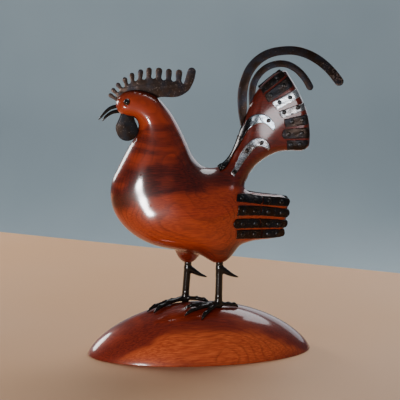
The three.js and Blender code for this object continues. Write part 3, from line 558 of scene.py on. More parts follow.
def sweep(path: np.ndarray, sections: np.ndarray, across: tuple[float, float, float]) -> Surface:
    """Runs a section along a path and closes both ends with a fan.

    Each ring is the path's point plus the section's steps along two axes square to the path.

    Args:
        path: Points of the path.
        sections: For each point of the path the section's corners, as steps across and up.
        across: A direction that the section's first axis stays close to.

    Returns:
        The closed surface.
    """
    along = unit(np.gradient(path, axis=0))
    first = np.tile(np.array(across, float), (len(path), 1))
    first = unit(first - along * (first * along).sum(1, keepdims=True))
    second = np.cross(along, first)
    rings = path[:, None] + sections[..., :1] * first[:, None] + sections[..., 1:] * second[:, None]
    rows, columns = rings.shape[:2]
    points = np.vstack([rings.reshape(-1, 3), path[0], path[-1]])
    step = np.arange(columns)
    following = (step + 1) % columns
    top = (rows - 1) * columns
    head = np.stack([following, step, np.full(columns, rows * columns)], 1)
    tail = np.stack([step + top, following + top, np.full(columns, rows * columns + 1)], 1)
    return Surface(points, [grid_faces(rows, columns, closed=True), head, tail])


def round_section(radii: np.ndarray, sides: int) -> np.ndarray:
    """Returns circles of the given radii as sections for a sweep.

    Args:
        radii: Radius at each point of the path.
        sides: Corners of each circle.

    Returns:
        Sections, as steps across and up.
    """
    angle = 2 * np.pi * np.arange(sides) / sides
    circle = np.stack([np.cos(angle), np.sin(angle)], 1)
    return radii[:, None, None] * circle


def flat_section(halves: np.ndarray, thickness: float, rounding: float) -> np.ndarray:
    """Returns flat bars with rounded corners as sections for a sweep.

    Args:
        halves: Half the bar's width at each point of the path.
        thickness: The bar's thickness.
        rounding: Radius of its corners.

    Returns:
        Sections whose first axis is the thickness and second the width.
    """
    angle = np.pi / 2 * np.array([0, 0.33, 0.67, 1])
    corner = rounding * np.stack([np.cos(angle), np.sin(angle)], 1)
    signs = np.array([[1, 1], [-1, 1], [-1, -1], [1, -1]])
    turned = [corner if sign[0] * sign[1] > 0 else corner[::-1] for sign in signs]
    local = np.vstack([part * sign for part, sign in zip(turned, signs)])
    thick = np.repeat(signs[:, 0], len(angle)) * (thickness / 2 - rounding) + local[:, 0]
    wide = np.repeat(signs[:, 1], len(angle)) * np.maximum(halves - rounding, 0.05)[:, None] + local[:, 1]
    return np.stack([np.broadcast_to(thick, wide.shape), wide], -1)


def cut_sheet(outline: np.ndarray, thickness: float, edge: float, y: float = 0.0) -> Surface:
    """Cuts a flat upright sheet to an outline, with rounded edges.

    The outline is repeated as rings: drawn in by the edge's rounding on both faces and full at mid
    thickness. Each flat face is one polygon.

    Args:
        outline: Places [x, z], in order round the sheet.
        thickness: The sheet's thickness.
        edge: Radius of its rounded edges.
        y: The sheet's middle plane.

    Returns:
        The closed surface.
    """
    along = unit(np.roll(outline, -1, 0) - np.roll(outline, 1, 0))
    turn = np.sum(outline[:, 0] * np.roll(outline[:, 1], -1) - np.roll(outline[:, 0], -1) * outline[:, 1])
    inward = np.stack([-along[:, 1], along[:, 0]], 1) * np.sign(turn)
    angle = np.pi / 2 * np.array([1, 0.66, 0.33, 0, -0.33, -0.66, -1])
    inset = edge * (1 - np.cos(angle))
    height = np.sign(angle) * (thickness / 2 - edge) + edge * np.sin(angle)
    rings = outline[None] + inward[None] * inset[:, None, None]
    depth = np.broadcast_to(y + height[:, None], rings.shape[:2])
    points = np.stack([rings[..., 0], depth, rings[..., 1]], -1).reshape(-1, 3)
    count = len(outline)
    wall = grid_faces(len(angle), count, closed=True)
    front = np.arange(count)[None]
    back = front + (len(angle) - 1) * count
    if turn < 0:
        return Surface(points, [wall, front[:, ::-1], back])
    return Surface(points, [wall[:, ::-1], front, back[:, ::-1]])


def hammered(points: np.ndarray, depth: float) -> np.ndarray:
    """Returns small height changes at points, as a hammer leaves them, from crossing waves.

    Args:
        points: Points in any grid.
        depth: Height of the highest crests.

    Returns:
        A height change for each point.
    """
    x, y, z = np.moveaxis(points, -1, 0)
    waves = np.sin(0.93 * x + 0.51 * z + 0.3 * y) + np.sin(0.41 * x - 1.07 * z + 1.3)
    return depth * (waves + 0.6 * np.sin(1.7 * x + 1.3 * z)) / 2.6


def over_flank(points: np.ndarray, out: np.ndarray, rest: float, sheet: float, dent: float) -> Surface:
    """Lays a sheet over a grid of flank points, with rounded rims and a hammered top.

    The top is the grid moved out by the rest and by a share of the sheet, which is 0.55 on the outer
    ring, 0.88 on the next and 1 within.

    Args:
        points: Grid of points on the wood.
        out: Their outward directions.
        rest: Air under the sheet.
        sheet: The sheet's thickness.
        dent: Depth of the hammering.

    Returns:
        The closed surface.
    """
    rows, columns = points.shape[:2]
    row = np.minimum(np.arange(rows), np.arange(rows)[::-1])[:, None]
    column = np.minimum(np.arange(columns), np.arange(columns)[::-1])[None]
    ring = np.minimum(row, column)
    share = np.choose(np.minimum(ring, 2), [0.55, 0.88, 1.0])
    over = rest + sheet * share + np.where(ring > 1, hammered(points, dent), 0)
    top = points + out * over[..., None]
    under = points + out * rest
    count = rows * columns
    index = np.arange(count).reshape(rows, columns)
    border = np.concatenate([index[0, :-1], index[:-1, -1], index[-1, :0:-1], index[:0:-1, 0]])
    following = np.roll(border, -1)
    wall = np.stack([border, following, following + count, border + count], 1)
    faces = grid_faces(rows, columns)
    closed = [faces[:, ::-1] + count, faces, wall[:, ::-1]]
    surface = Surface(np.vstack([under.reshape(-1, 3), top.reshape(-1, 3)]), closed)
    return facing_out(surface)


def facing_out(surface: Surface) -> Surface:
    """Turns all faces over if the closed surface's volume, summed from the origin, is negative.

    Args:
        surface: A closed surface with its faces all out or all in.

    Returns:
        The surface with its faces out.
    """
    volume = 0.0
    for face in surface.faces:
        corners = surface.points[face]
        for second in range(1, face.shape[1] - 1):
            crossed = np.cross(corners[:, second], corners[:, second + 1])
            volume += (corners[:, 0] * crossed).sum()
    if volume >= 0:
        return surface
    turned = [face[:, ::-1] for face in surface.faces]
    return Surface(surface.points, turned, surface.normals, surface.marks)


def nail_heads(points: np.ndarray, out: np.ndarray, radius: float, rise: float, foot: float) -> Surface:
    """Sets domed nail heads on a sheet.

    Each head is five rings that draw in as they rise, with a slightly uneven radius, and a tip.

    Args:
        points: Points on the wood under the nails.
        out: Their outward directions.
        radius: Radius of a head.
        rise: How far a head stands above its foot.
        foot: Height of the foot above the wood.

    Returns:
        All heads as one surface.
    """
    sides = 14
    level = np.array([0, 0.35, 0.7, 0.92, 1.0])
    spread = np.array([1, 0.99, 0.86, 0.55, 0.2])
    first = unit(np.cross(out, np.array([0.2, 0.1, 1.0])))
    second = np.cross(out, first)
    angle = 2 * np.pi * np.arange(sides) / sides
    wobble = 1 + 0.05 * np.sin(3 * angle + points[:, :1]) + 0.04 * np.sin(2 * angle + points[:, 2:])
    flat = np.cos(angle)[:, None] * first[:, None] + np.sin(angle)[:, None] * second[:, None]
    flat = flat * (radius * wobble)[..., None]
    height = foot + rise * level
    rings = points[:, None, None] + flat[:, None] * spread[:, None, None]
    rings = rings + out[:, None, None] * height[:, None, None]
    tips = points + out * (foot + rise * 1.02)
    ring_count = len(level) * sides
    parts = []
    for ring, tip in zip(rings, tips):
        faces = grid_faces(len(level), sides, closed=True)
        step = np.arange(sides) + ring_count - sides
        following = np.roll(step, -1)
        cap = np.stack([step, following, np.full(sides, ring_count)], 1)
        floor = np.arange(sides)[None, ::-1]
        points_of_head = np.vstack([ring.reshape(-1, 3), tip])
        parts.append(facing_out(Surface(points_of_head, [faces, cap, floor], None, [1, 1, 1])))
    return Surface.joined(parts)


@dataclass(frozen=True)
class Sheets:
    """Sizes that all nailed plates share: a nail's foot is a share of the sheet, waver is hand cutting."""

    rest: float = 0.35
    sheet: float = 1.0
    lip: float = 1.4
    gap: float = 0.8
    dent: float = 0.16
    edge: float = 0.35
    waver: float = 0.1
    nail_radius: float = 2.1
    nail_rise: float = 1.0
    nail_foot: float = 0.7


SHEETS = Sheets()


def rim_shares(length: float, count: int, edge: float) -> np.ndarray:
    """Returns shares along a side with two close steps at each end, so that a sheet's rim is round.

    Args:
        length: The side's length.
        count: Shares from one rim's inner edge to the other's.
        edge: Width of the rounded rim.

    Returns:
        Shares from 0 to 1.
    """
    near = np.array([0, 0.4, 1.0]) * edge / length
    inner = np.linspace(near[-1], 1 - near[-1], count)
    return np.concatenate([near[:-1], inner, 1 - near[-2::-1]])


@dataclass(frozen=True)
class Plate:
    """A nailed iron plate over four corners [x, z]: inner top, inner bottom, outer bottom, outer top.

    A positive end rounds the end's corners back, a negative one draws its middle back.
    """

    name: str
    corners: tuple[tuple[float, float], ...]
    ends: tuple[float, float]
    nails: tuple[tuple[float, float], ...]
    metal: Metal = Metal.DARK

    def surface(self, carving: Carving, side: int) -> Surface:
        """Makes the plate with its nail heads on one flank.

        Places are mixed along and across between the four corners. Each end is bowed as an arc of a
        circle, and the sides waver a little.

        Args:
            carving: The wood that the plate is nailed to.
            side: LEFT or RIGHT.

        Returns:
            The plate and its nails as one surface.
        """
        inner_top, inner_bottom, outer_bottom, outer_top = np.array(self.corners)
        length = np.linalg.norm(outer_top + outer_bottom - inner_top - inner_bottom) / 2
        width = np.linalg.norm(inner_top + outer_top - inner_bottom - outer_bottom) / 2
        across = rim_shares(width, 9, SHEETS.edge)
        along = rim_shares(length, 17, SHEETS.edge)
        bow = 1 - np.sqrt(np.maximum(0, 1 - (2 * across - 1) ** 2))
        start = self.ends[0] * bow / length
        end = 1 - self.ends[1] * bow / length
        share = mix(start[None], end[None], along[:, None])
        inner = mix(inner_top, inner_bottom, across[:, None])
        outer = mix(outer_top, outer_bottom, across[:, None])
        places = mix(inner[None], outer[None], share[..., None]) + [0, CROWN]
        phase = places[..., :1] * 0.7 + places[..., 1:] * 0.9
        places = places + SHEETS.waver * np.concatenate([np.sin(phase), np.cos(1.3 * phase)], -1)
        points, out = carving.frames(places, side, SHEETS.lip)
        sheet = over_flank(points, out, SHEETS.rest, SHEETS.sheet, SHEETS.dent)
        return Surface.joined([sheet, nails_on(carving, self.nails, side, SHEETS.lip)])


def nails_on(carving: Carving, places: tuple, side: int, lip: float) -> Surface:
    """Makes the nail heads at places [x, z] of a flank.

    Args:
        carving: The wood that the nails go into.
        places: Their places above the base's crown.
        side: LEFT or RIGHT.
        lip: How far inside the edge the sheet stops following the wood.

    Returns:
        All heads as one surface.
    """
    points, out = carving.frames(np.array(places) + [0, CROWN], side, lip)
    foot = SHEETS.rest + SHEETS.sheet * SHEETS.nail_foot
    return nail_heads(points, out, SHEETS.nail_radius, SHEETS.nail_rise, foot)


@dataclass(frozen=True)
class Strap:
    """A hooked strap between pairs of edge points [x, z, x, z], front edge first.

    The first rungs, up to the number in rim, start at the wood's rim and bend round it.
    """

    name: str
    rungs: tuple[tuple[float, float, float, float], ...]
    nails: tuple[tuple[float, float], ...]
    rim: int = 0
    fade: float = 0.6
    dent: float = 0.06

    def surface(self, carving: Carving, side: int) -> Surface:
        """Makes the strap with its nail heads on one flank.

        Places are mixed across each rung. Where the strap bends round the rim, they are set closer
        there by one less the cosine.

        Args:
            carving: The wood that the strap is nailed to.
            side: LEFT or RIGHT.

        Returns:
            The strap and its nails as one surface.
        """
        steps = 6
        rungs = smooth_curve(np.array(self.rungs), steps, False) + [0, CROWN, 0, CROWN]
        wrap = np.zeros(len(rungs))
        if self.rim:
            row = np.arange(len(rungs)) / steps
            wrap = 1 - smooth_step(row, self.rim - self.fade, self.rim + self.fade)
        front = mix(rungs[:, :2], carving.at_rim(rungs[:, :2]), wrap[:, None])
        width = np.linalg.norm(rungs[:, :2] - rungs[:, 2:], axis=1).mean()
        across = rim_shares(width, 13, SHEETS.edge)
        eased = mix(across, 1 - np.cos(across * np.pi / 2), wrap[:, None])
        places = mix(front[:, None], rungs[:, None, 2:], eased[..., None])
        sheet = over_flank(*carving.frames(places, side), SHEETS.rest, SHEETS.sheet, self.dent)
        return Surface.joined([sheet, nails_on(carving, self.nails, side, 0.0)])


TAIL_PLATES = (
    Plate("tail_plate_1", ((53.2, 197), (56, 191.8), (75.8, 207.4), (73, 212.4)), (0, 1), ((68.5, 206),)),
    Plate("tail_plate_2", ((56.6, 190.6), (60.5, 183.8), (82.3, 198.1), (78.1, 207.5)), (1, 1),
          ((74.2, 199.2), (62.6, 190.6))),
    Plate("tail_plate_3", ((63.3, 184.2), (68.6, 177.2), (89, 188.7), (85.4, 195.8)), (0, 1),
          ((79.7, 188.4), (70.3, 184.1)), Metal.BRIGHT),
    Plate("tail_plate_4", ((69.2, 175.4), (72.7, 169.6), (93.7, 176.6), (92.8, 183.1)), (1, 0.5),
          ((74.6, 175.2), (87.1, 179.2)), Metal.GREY),
    Plate("tail_plate_5", ((74.8, 168.5), (76.1, 161.4), (96.9, 163.5), (95.9, 172.6)), (0.3, 0.8),
          ((82.1, 166.4), (91.5, 167.6))),
    Plate("tail_plate_6", ((73.2, 159.7), (73.2, 151), (97.9, 151), (97.7, 160.4)), (3, 0.5),
          ((79, 155.4), (91, 155.6))),
    Plate("tail_plate_7", ((77.4, 149.4), (78.3, 141.4), (94.4, 141), (98.3, 149.2)), (0.3, 0.6),
          ((81.6, 145.4), (89.6, 145.6))),
)


@dataclass(frozen=True)
class RumpRow:
    """A row of two rump plates that meet at a joint, as [x, z, width] along its middle."""

    start: tuple[float, float, float]
    joint: tuple[float, float, float]
    end: tuple[float, float, float]
    ends: tuple[float, float, float]
    nails: tuple[tuple[tuple[float, float], ...], ...]

    def plates(self, first: int) -> tuple[Plate, Plate]:
        """Makes the row's front and rear plate.

        Args:
            first: Number of the front plate.

        Returns:
            The two plates.
        """
        step = SHEETS.gap / 2
        before = (self.joint[0] - step, *self.joint[1:])
        after = (self.joint[0] + step, *self.joint[1:])
        start, joint, end = self.ends
        front = strip_corners(self.start, before)
        rear = strip_corners(after, self.end)
        return (
            Plate(f"rump_plate_{first}", front, (start, joint), self.nails[0]),
            Plate(f"rump_plate_{first + 1}", rear, (-joint, end), self.nails[1]),
        )


def strip_corners(start: tuple, end: tuple) -> tuple[tuple[float, float], ...]:
    """Returns the four corners of a strip between two stations [x, z, width].

    Args:
        start: The inner station.
        end: The outer station.

    Returns:
        Inner top, inner bottom, outer bottom and outer top corner.
    """
    first, last = np.array(start), np.array(end)
    along = unit((last - first)[:2])
    normal = np.array([-along[1], along[0]])
    corners = [
        first[:2] + normal * first[2] / 2, first[:2] - normal * first[2] / 2,
        last[:2] - normal * last[2] / 2, last[:2] + normal * last[2] / 2,
    ]
    return tuple(tuple(corner) for corner in corners)


RUMP_ROWS = (
    RumpRow((31.2, 100.6, 6.6), (56.4, 95.6, 7.2), (81.6, 92.4, 7.6), (0.3, 3, 3),
            (((35.6, 99.8), (49.6, 96.9)), ((62, 95), (73.2, 93.4)))),
    RumpRow((32.2, 89.1, 8.8), (54.6, 86.6, 8.6), (81.4, 82.2, 7.8), (-1, 3, 3),
            (((38.2, 88.5), (48.4, 87.2)), ((61, 85.6), (73.6, 83.6)))),
    RumpRow((28, 77.4, 9), (54, 75.2, 8.4), (79.8, 72.8, 6.8), (3.5, 3, 2.5),
            (((36.6, 76.7), (49, 75.6)), ((61, 74.6), (71, 73.6)))),
    RumpRow((31.4, 66.9, 8), (55.4, 65.3, 7.8), (77.2, 64.7, 7.2), (-1, 2, 2),
            (((36.8, 66.6), (48, 65.8)), ((61, 65.1), (69.6, 64.9)))),
)

STRAPS = (
    Strap("upper_strap", (
        (16.5, 126, 17.6, 122.8), (22.6, 129, 22.6, 125.6), (27.5, 134, 27.2, 131.8),
        (32, 143, 31.4, 139.3), (36, 153, 35.6, 146.3), (40.4, 162, 38.4, 151.7),
        (42.4, 167.8, 41, 157.1), (46, 172, 44.4, 161.6), (51.2, 174.1, 49, 165),
        (56.6, 173.6, 53.8, 166.1), (61.4, 171, 58.2, 164.8), (65.2, 166, 62.2, 161.4),
        (66.6, 159.8, 65.6, 158.4),
    ), ((60.4, 168.2), (36.8, 151.6), (20.2, 125)), 5),
    Strap("lower_strap", (
        (26.5, 122, 29.3, 119.1), (30.2, 127.2, 32.9, 124.3), (33, 133, 36, 128.8),
        (36.8, 140.5, 40.3, 134.7), (42.1, 148, 45, 140.3), (47.5, 152.2, 48.6, 144.4),
        (53.9, 152.6, 53, 144.9), (59, 149.8, 57, 143.9), (62, 143.4, 60.4, 141.4),
    ), ((54.2, 148.6), (41.4, 141.8), (29.8, 122.8))),
)


@dataclass(frozen=True)
class Comb:
    """The comb: one sheet with knobbed prongs, as [x, z, knob radius, neck half width] from the back."""

    sheet: float = 1.6
    edge: float = 0.45
    neck_shares: tuple[float, float] = (0.16, 0.6)
    prongs: tuple[tuple[float, float, float, float], ...] = (
        (-6.9, 211.4, 3.7, 3.7), (-18.1, 210.6, 2.9, 2.7), (-27.1, 211.6, 2.7, 2.6), (-35.9, 212.4, 3, 2.7),
        (-44.6, 213.2, 2.5, 2.4), (-52, 211.8, 2.3, 2.1), (-59.7, 209, 2.2, 1.9), (-66, 205.2, 2.2, 1.8),
        (-72, 200.6, 2.1, 1.7), (-76.3, 196.1, 1.9, 1.6), (-78.8, 191.5, 1.9, 1.6),
    )
    notches: tuple[tuple[float, float], ...] = (
        (-14.2, 200.9), (-23.2, 202.9), (-31.9, 204.1), (-40.9, 205.8), (-48.9, 205), (-56.2, 203.9),
        (-61.8, 201.5), (-66.8, 198.6), (-71.2, 194.9), (-73.6, 190),
    )
    back: tuple[tuple[float, float], ...] = (
        (-34.5, 189.2), (-24.4, 188.9), (-19.1, 189.4), (-13.8, 191.7), (-9.3, 195.1), (-6.6, 199.6),
        (-4.4, 204.9),
    )
    foot: tuple[tuple[float, float], ...] = (
        (-71.8, 184.8), (-68.4, 189.2), (-65, 191.4), (-59.6, 192.6), (-51.3, 191.7), (-41.5, 187.5),
    )

    def outline(self) -> np.ndarray:
        """Returns the outline: foot, back edge, then each prong's neck, knob arc and notch.

        Returns:
            Places [x, z], in order round the sheet.
        """
        points = [np.array(self.foot), np.array(self.back)]
        arc = np.radians(np.linspace(-90, 90, 9))
        for number, (x, z, knob, neck) in enumerate(self.prongs):
            before = self.notches[number - 1] if number else self.back[-2]
            after = self.notches[number] if number < len(self.notches) else self.foot[0]
            root = (np.array(before) + np.array(after)) / 2
            along = unit(np.array([x, z]) - root)
            heading = math.atan2(along[1], along[0])
            normal = np.array([along[1], -along[0]])
            middle = mix(root, np.array([x, z]), np.array(self.neck_shares)[:, None])
            tip = np.array([x, z]) + knob * np.stack([np.cos(heading + arc), np.sin(heading + arc)], 1)
            if number:
                points.append(middle + normal * neck)
            points.extend([tip, (middle - normal * neck)[::-1]])
            if number < len(self.notches):
                points.append(np.array([after]))
        return smooth_curve(np.vstack(points), 3, True) + [0, CROWN]

    def surface(self) -> Surface:
        """Cuts the comb from its sheet."""
        return cut_sheet(self.outline(), self.sheet, self.edge)


@dataclass(frozen=True)
class Plume:
    """A flat strip that curves out of the tail's front edge, as [x, z, half width] along its middle."""

    name: str
    stations: tuple[tuple[float, float, float], ...]
    sheet: float = 2.0
    edge: float = 0.5

    def surface(self) -> Surface:
        """Sweeps the strip and draws its last stretch in to a round end.

        The end runs on by the half width times an angle's sine, and narrows by its cosine.

        Returns:
            The closed surface.
        """
        stations = smooth_curve(np.array(self.stations), 6, False)
        end = stations[-1]
        along = unit(end[:2] - stations[-2, :2])
        angle = np.linspace(0, np.pi / 2, 9)[1:]
        cap = np.stack([
            end[0] + along[0] * end[2] * np.sin(angle), end[1] + along[1] * end[2] * np.sin(angle),
            np.maximum(end[2] * np.cos(angle), 0.3),
        ], 1)
        stations = np.vstack([stations, cap])
        path = np.stack([stations[:, 0], np.zeros(len(stations)), stations[:, 1] + CROWN], 1)
        sections = flat_section(stations[:, 2], self.sheet, self.edge)
        return facing_out(sweep(path, sections, (0, 1, 0)))


PLUMES = (
    Plume("long_plume", (
        (37.7, 162.5, 0.8), (38.5, 168, 2.6), (38.6, 176, 3.9), (38.3, 185, 4.2), (38.8, 194, 4.3),
        (40.8, 203.2, 4.2), (44.7, 212, 4.2), (50.6, 219.3, 4.1), (58, 224.7, 4), (66.4, 227.8, 3.9),
        (75, 229, 3.9), (84, 229, 3.9), (93, 227, 4), (102, 223, 4.1), (111, 216.9, 4.1), (119, 209.2, 4.1),
        (125.6, 201, 4.1),
    )),
    Plume("short_plume", (
        (45.9, 175, 0.8), (46.7, 180, 2.2), (47.2, 186, 3), (47.2, 193, 3), (48.5, 200, 3), (52.1, 206.8, 3),
        (57.8, 212.7, 3), (64.5, 216.2, 3), (72, 217.5, 3.1), (78.8, 216.6, 3.1), (85.5, 213.2, 3.1),
        (91.4, 208, 3.1), (96.2, 201.8, 3.1), (99.2, 196.4, 3.1),
    )),
)


@dataclass(frozen=True)
class Beak:
    """One half of the beak: a bar as [x, z] from inside the head to its point."""

    name: str
    route: tuple[tuple[float, float], ...]
    root: float = 3.4
    point: float = 1.1
    taper: float = 1.6

    def surface(self) -> Surface:
        """Sweeps the bar: its radius falls with the share of the way out to the power of taper.

        Returns:
            The closed surface.
        """
        path = smooth_curve(np.array(self.route), 8, False)
        seat = path[:, 0] > self.route[1][0]
        share = np.clip(np.linspace(0, 1, len(path)) - seat.mean(), 0, 1) / (1 - seat.mean())
        radii = mix(self.root, self.point, share**self.taper) / 2
        angle = np.linspace(0, np.pi / 2, 6)[1:]
        along = unit(path[-1] - path[-2])
        tip = path[-1] + along * (radii[-1] * np.sin(angle))[:, None]
        path = np.vstack([path, tip])
        radii = np.concatenate([radii, np.maximum(radii[-1] * np.cos(angle), 0.04)])
        spine = np.stack([path[:, 0], np.zeros(len(path)), path[:, 1] + CROWN], 1)
        return facing_out(sweep(spine, round_section(radii, 20), (0, 1, 0)))


BEAKS = (
    Beak("upper_beak", (
        (-71, 181.6), (-74.5, 181.5), (-79.4, 179.9), (-83.8, 176.3), (-87.2, 172.6), (-89.2, 170.2),
    )),
    Beak("lower_beak", (
        (-69.7, 177.2), (-73.2, 177.2), (-78.4, 175.9), (-82.6, 173), (-85, 170.6), (-86.1, 169),
    )),
)


@dataclass(frozen=True)
class Wattle:
    """A teardrop sheet that hangs from the jaw: an arc of a circle, with a neck given from its centre."""

    sheet: float = 1.2
    edge: float = 0.4
    spread: float = 13.0
    centre: tuple[float, float] = (-64.7, 161.2)
    radius: float = 9.6
    neck: tuple[tuple[float, float], ...] = ((6.6, 9.3), (5, 16), (-3, 16), (-6.2, 9.3))

    def surface(self, side: int) -> Surface:
        """Cuts the wattle of one side.

        Args:
            side: LEFT or RIGHT.

        Returns:
            The closed surface.
        """
        angle = np.radians(np.arange(160, 381, 10))
        lobe = self.radius * np.stack([np.cos(angle), np.sin(angle)], 1)
        outline = smooth_curve(np.vstack([lobe, self.neck]), 2, True) + self.centre + [0, CROWN]
        return cut_sheet(outline, self.sheet, self.edge, side * self.spread / 2)


@dataclass(frozen=True)
class EyeBead:
    """A glossy bead set in the head, proud of the wood: a ball of rings round its own axis."""

    diameter: float = 5.8
    proud: float = 1.9
    rings: int = 23
    sides: int = 36

    def surface(self, carving: Carving, side: int) -> Surface:
        """Makes the bead: each ring's radius is the sine and its height the cosine of one angle.

        Args:
            carving: The wood that the eye is set in.
            side: LEFT or RIGHT.

        Returns:
            The closed surface.
        """
        points, out = carving.frames(EYE_SPOT + [0, CROWN], side)
        centre = points[0] + out[0] * (self.proud - self.diameter / 2)
        first = unit(np.cross(out[0], [0, 0, 1]))
        second = np.cross(out[0], first)
        polar = np.linspace(0, np.pi, self.rings + 2)[1:-1]
        turn = 2 * np.pi * np.arange(self.sides) / self.sides
        radius = self.diameter / 2
        ring = np.cos(turn)[:, None] * first + np.sin(turn)[:, None] * second
        rings = centre + radius * (
            np.cos(polar)[:, None, None] * out[0] + np.sin(polar)[:, None, None] * ring[None]
        )
        poles = np.stack([centre + radius * out[0], centre - radius * out[0]])
        count = rings.shape[0] * rings.shape[1]
        step = np.arange(len(turn))
        following = np.roll(step, -1)
        last = count - len(turn)
        caps = [
            np.stack([step, following, np.full(len(turn), count)], 1),
            np.stack([following + last, step + last, np.full(len(turn), count + 1)], 1),
        ]
        faces = grid_faces(len(polar), len(turn), closed=True)[:, ::-1]
        return facing_out(Surface(np.vstack([rings.reshape(-1, 3), poles]), [faces, *caps]))


@dataclass(frozen=True)
class Base:
    """The half-egg base: its dome's height is H * (1 - r^2) ^ fullness, with r the share of the way out."""

    length: float = 205.0
    width: float = 96.0
    height: float = CROWN
    fullness: float = 0.72
    foot: tuple[tuple[float, float], ...] = (
        (0.9995, 0.75), (0.9985, 0.35), (0.9955, 0.08), (0.990, 0.0), (0.6, 0.0), (0.2, 0.0),
    )
    foot_top: float = 1.2
    rings: int = 96
    sides: int = 192

    def dome(self, x: np.ndarray, y: np.ndarray) -> np.ndarray:
        """Returns the dome's height at places."""
        reach = (x / (self.length / 2)) ** 2 + (y / (self.width / 2)) ** 2
        return self.height * np.maximum(0, 1 - reach) ** self.fullness

    def surface(self) -> Surface:
        """Makes the dome down to the foot's top, then the softened edge and the flat underside.

        Returns:
            The closed surface.
        """
        share = np.sin(np.linspace(0, np.pi / 2, self.rings + 1)[1:-1])
        level = self.height * (1 - share**2) ** self.fullness
        keep = level > self.foot_top
        profile = np.vstack([np.stack([share[keep], level[keep]], 1), self.foot])
        turn = 2 * np.pi * np.arange(self.sides) / self.sides
        x = profile[:, :1] * np.cos(turn) * self.length / 2
        y = profile[:, :1] * np.sin(turn) * self.width / 2
        z = np.broadcast_to(profile[:, 1:], x.shape)
        points = np.vstack([np.stack([x, y, z], -1).reshape(-1, 3), [0, 0, self.height], [0, 0, 0]])
        count = len(points) - 2
        step = np.arange(self.sides)
        following = np.roll(step, -1)
        last = count - self.sides
        caps = [
            np.stack([step, following, np.full(self.sides, count)], 1),
            np.stack([following + last, step + last, np.full(self.sides, count + 1)], 1),
        ]
        faces = grid_faces(len(profile), self.sides, closed=True)[:, ::-1]
        return facing_out(Surface(points, [faces, *caps]))


BASE = Base()


@dataclass
class Leg(Field):
    """A leg forged from round bar: shank, spur and toes, as tapered capsules joined smoothly.

    The spur is given as steps back and up from the shank's top, with its radius.
    """

    name: str
    thigh: Thigh
    top: tuple[float, float]
    ankle: tuple[float, float]
    toes: tuple[tuple[float, float], ...]
    bar: float = 6.5
    seat: float = 8.0
    toe_bar: float = 4.1
    claw: float = 1.2
    clearance: float = 0.3
    ankle_swell: float = 1.15
    spur: tuple[tuple[float, float, float], ...] = (
        (0, -5, 3.1), (3, -6.6, 2.9), (6.5, -8.8, 2.4), (11, -11.4, 1.6), (17, -13.8, 0.6),
    )
    blend: float = 1.6
    link_blend: float = 0.5
    cell: float = 0.75
    links: list[tuple[np.ndarray, np.ndarray, np.ndarray, np.ndarray]] = field(default_factory=list)

    def __post_init__(self) -> None:
        """Lays out the shank from the ankle up into the thigh, then the spur and the toes."""
        bottom = CROWN + self.thigh.centre[2] - self.thigh.radii[2]
        foot = np.array(self.ankle)
        ankle_height = BASE.dome(foot[:1], foot[1:])[0] + self.clearance + self.toe_bar / 2
        lower = np.array([*self.ankle, ankle_height])
        upper = np.array([*self.top, bottom])
        seated = upper + unit(upper - lower) * (self.seat - self.clearance)
        shank = np.vstack([lower, mix(lower, upper, 0.2), upper, seated])
        self.add(shank, np.array([self.ankle_swell, 1, 1, 1]) * self.bar / 2)
        spur = smooth_curve(np.array(self.spur), 3, False)
        self.add(upper + np.stack([spur[:, 0], np.zeros(len(spur)), spur[:, 1]], 1), spur[:, 2])
        for tip in self.toes:
            self.add_toe(lower, np.array(tip))

    def add(self, path: np.ndarray, radii: np.ndarray) -> None:
        """Adds a run of tapered capsules."""
        self.links.append((path[:-1], path[1:], radii[:-1], radii[1:]))

    def add_toe(self, ankle: np.ndarray, tip: np.ndarray) -> None:
        """Adds a toe that arches over the base and ends in a claw bent down.

        Args:
            ankle: The shank's lower end.
            tip: Where the toe ends, [x, y] on the base.
        """
        share = np.array([0, 0.14, 0.36, 0.5, 0.66, 0.8, 0.92, 1.0])
        radii = self.toe_bar / 2 * np.array([1, 0.96, 0.86, 1.0, 0.84, 0.94, 0.62, 0.3])
        arch = np.array([0.6, 1.1, 0.9, 1.0, 0.8, 0.9, 0.6, 0.0])
        places = mix(ankle[:2], tip, share[:, None])
        ground = BASE.dome(places[:, 0], places[:, 1])
        step = 0.5
        slope = (ground - BASE.dome(places[:, 0] + step, places[:, 1] + step)) / step
        lift = (radii + self.clearance) * np.hypot(1, slope)
        self.add(np.column_stack([places, ground + lift + arch]), radii)

    def value(self, points: np.ndarray) -> np.ndarray:
        """Returns the smooth union of all runs of capsules.

        A capsule's value is the distance to the nearest place on its link, less the radius there.

        Args:
            points: Points, one row each.

        Returns:
            The field, negative inside.
        """
        total = None
        for start, end, first, last in self.links:
            run = None
            for a, b, low, high in zip(start, end, first, last):
                along = b - a
                share = np.clip((points - a) @ along / (along @ along), 0, 1)
                near = np.linalg.norm(points - a - share[:, None] * along, axis=1)
                capsule = near - mix(low, high, share)
                run = capsule if run is None else smooth_less(run, capsule, self.link_blend)
            total = run if total is None else smooth_less(total, run, self.blend)
        return total

    def surface(self) -> Surface:
        """Makes the skin of the leg.

        Returns:
            The surface with its normals.
        """
        ends = np.vstack([np.vstack(link[:2]) for link in self.links])
        low = ends.min(0) - self.bar
        high = ends.max(0) + self.bar
        axes = [np.arange(start, end + self.cell, self.cell) for start, end in zip(low, high)]
        grid = np.stack(np.meshgrid(*axes, indexing="ij"), -1)
        values = self.value(grid.reshape(-1, 3)).reshape(grid.shape[:3])
        return self.skin(values, low, self.cell)


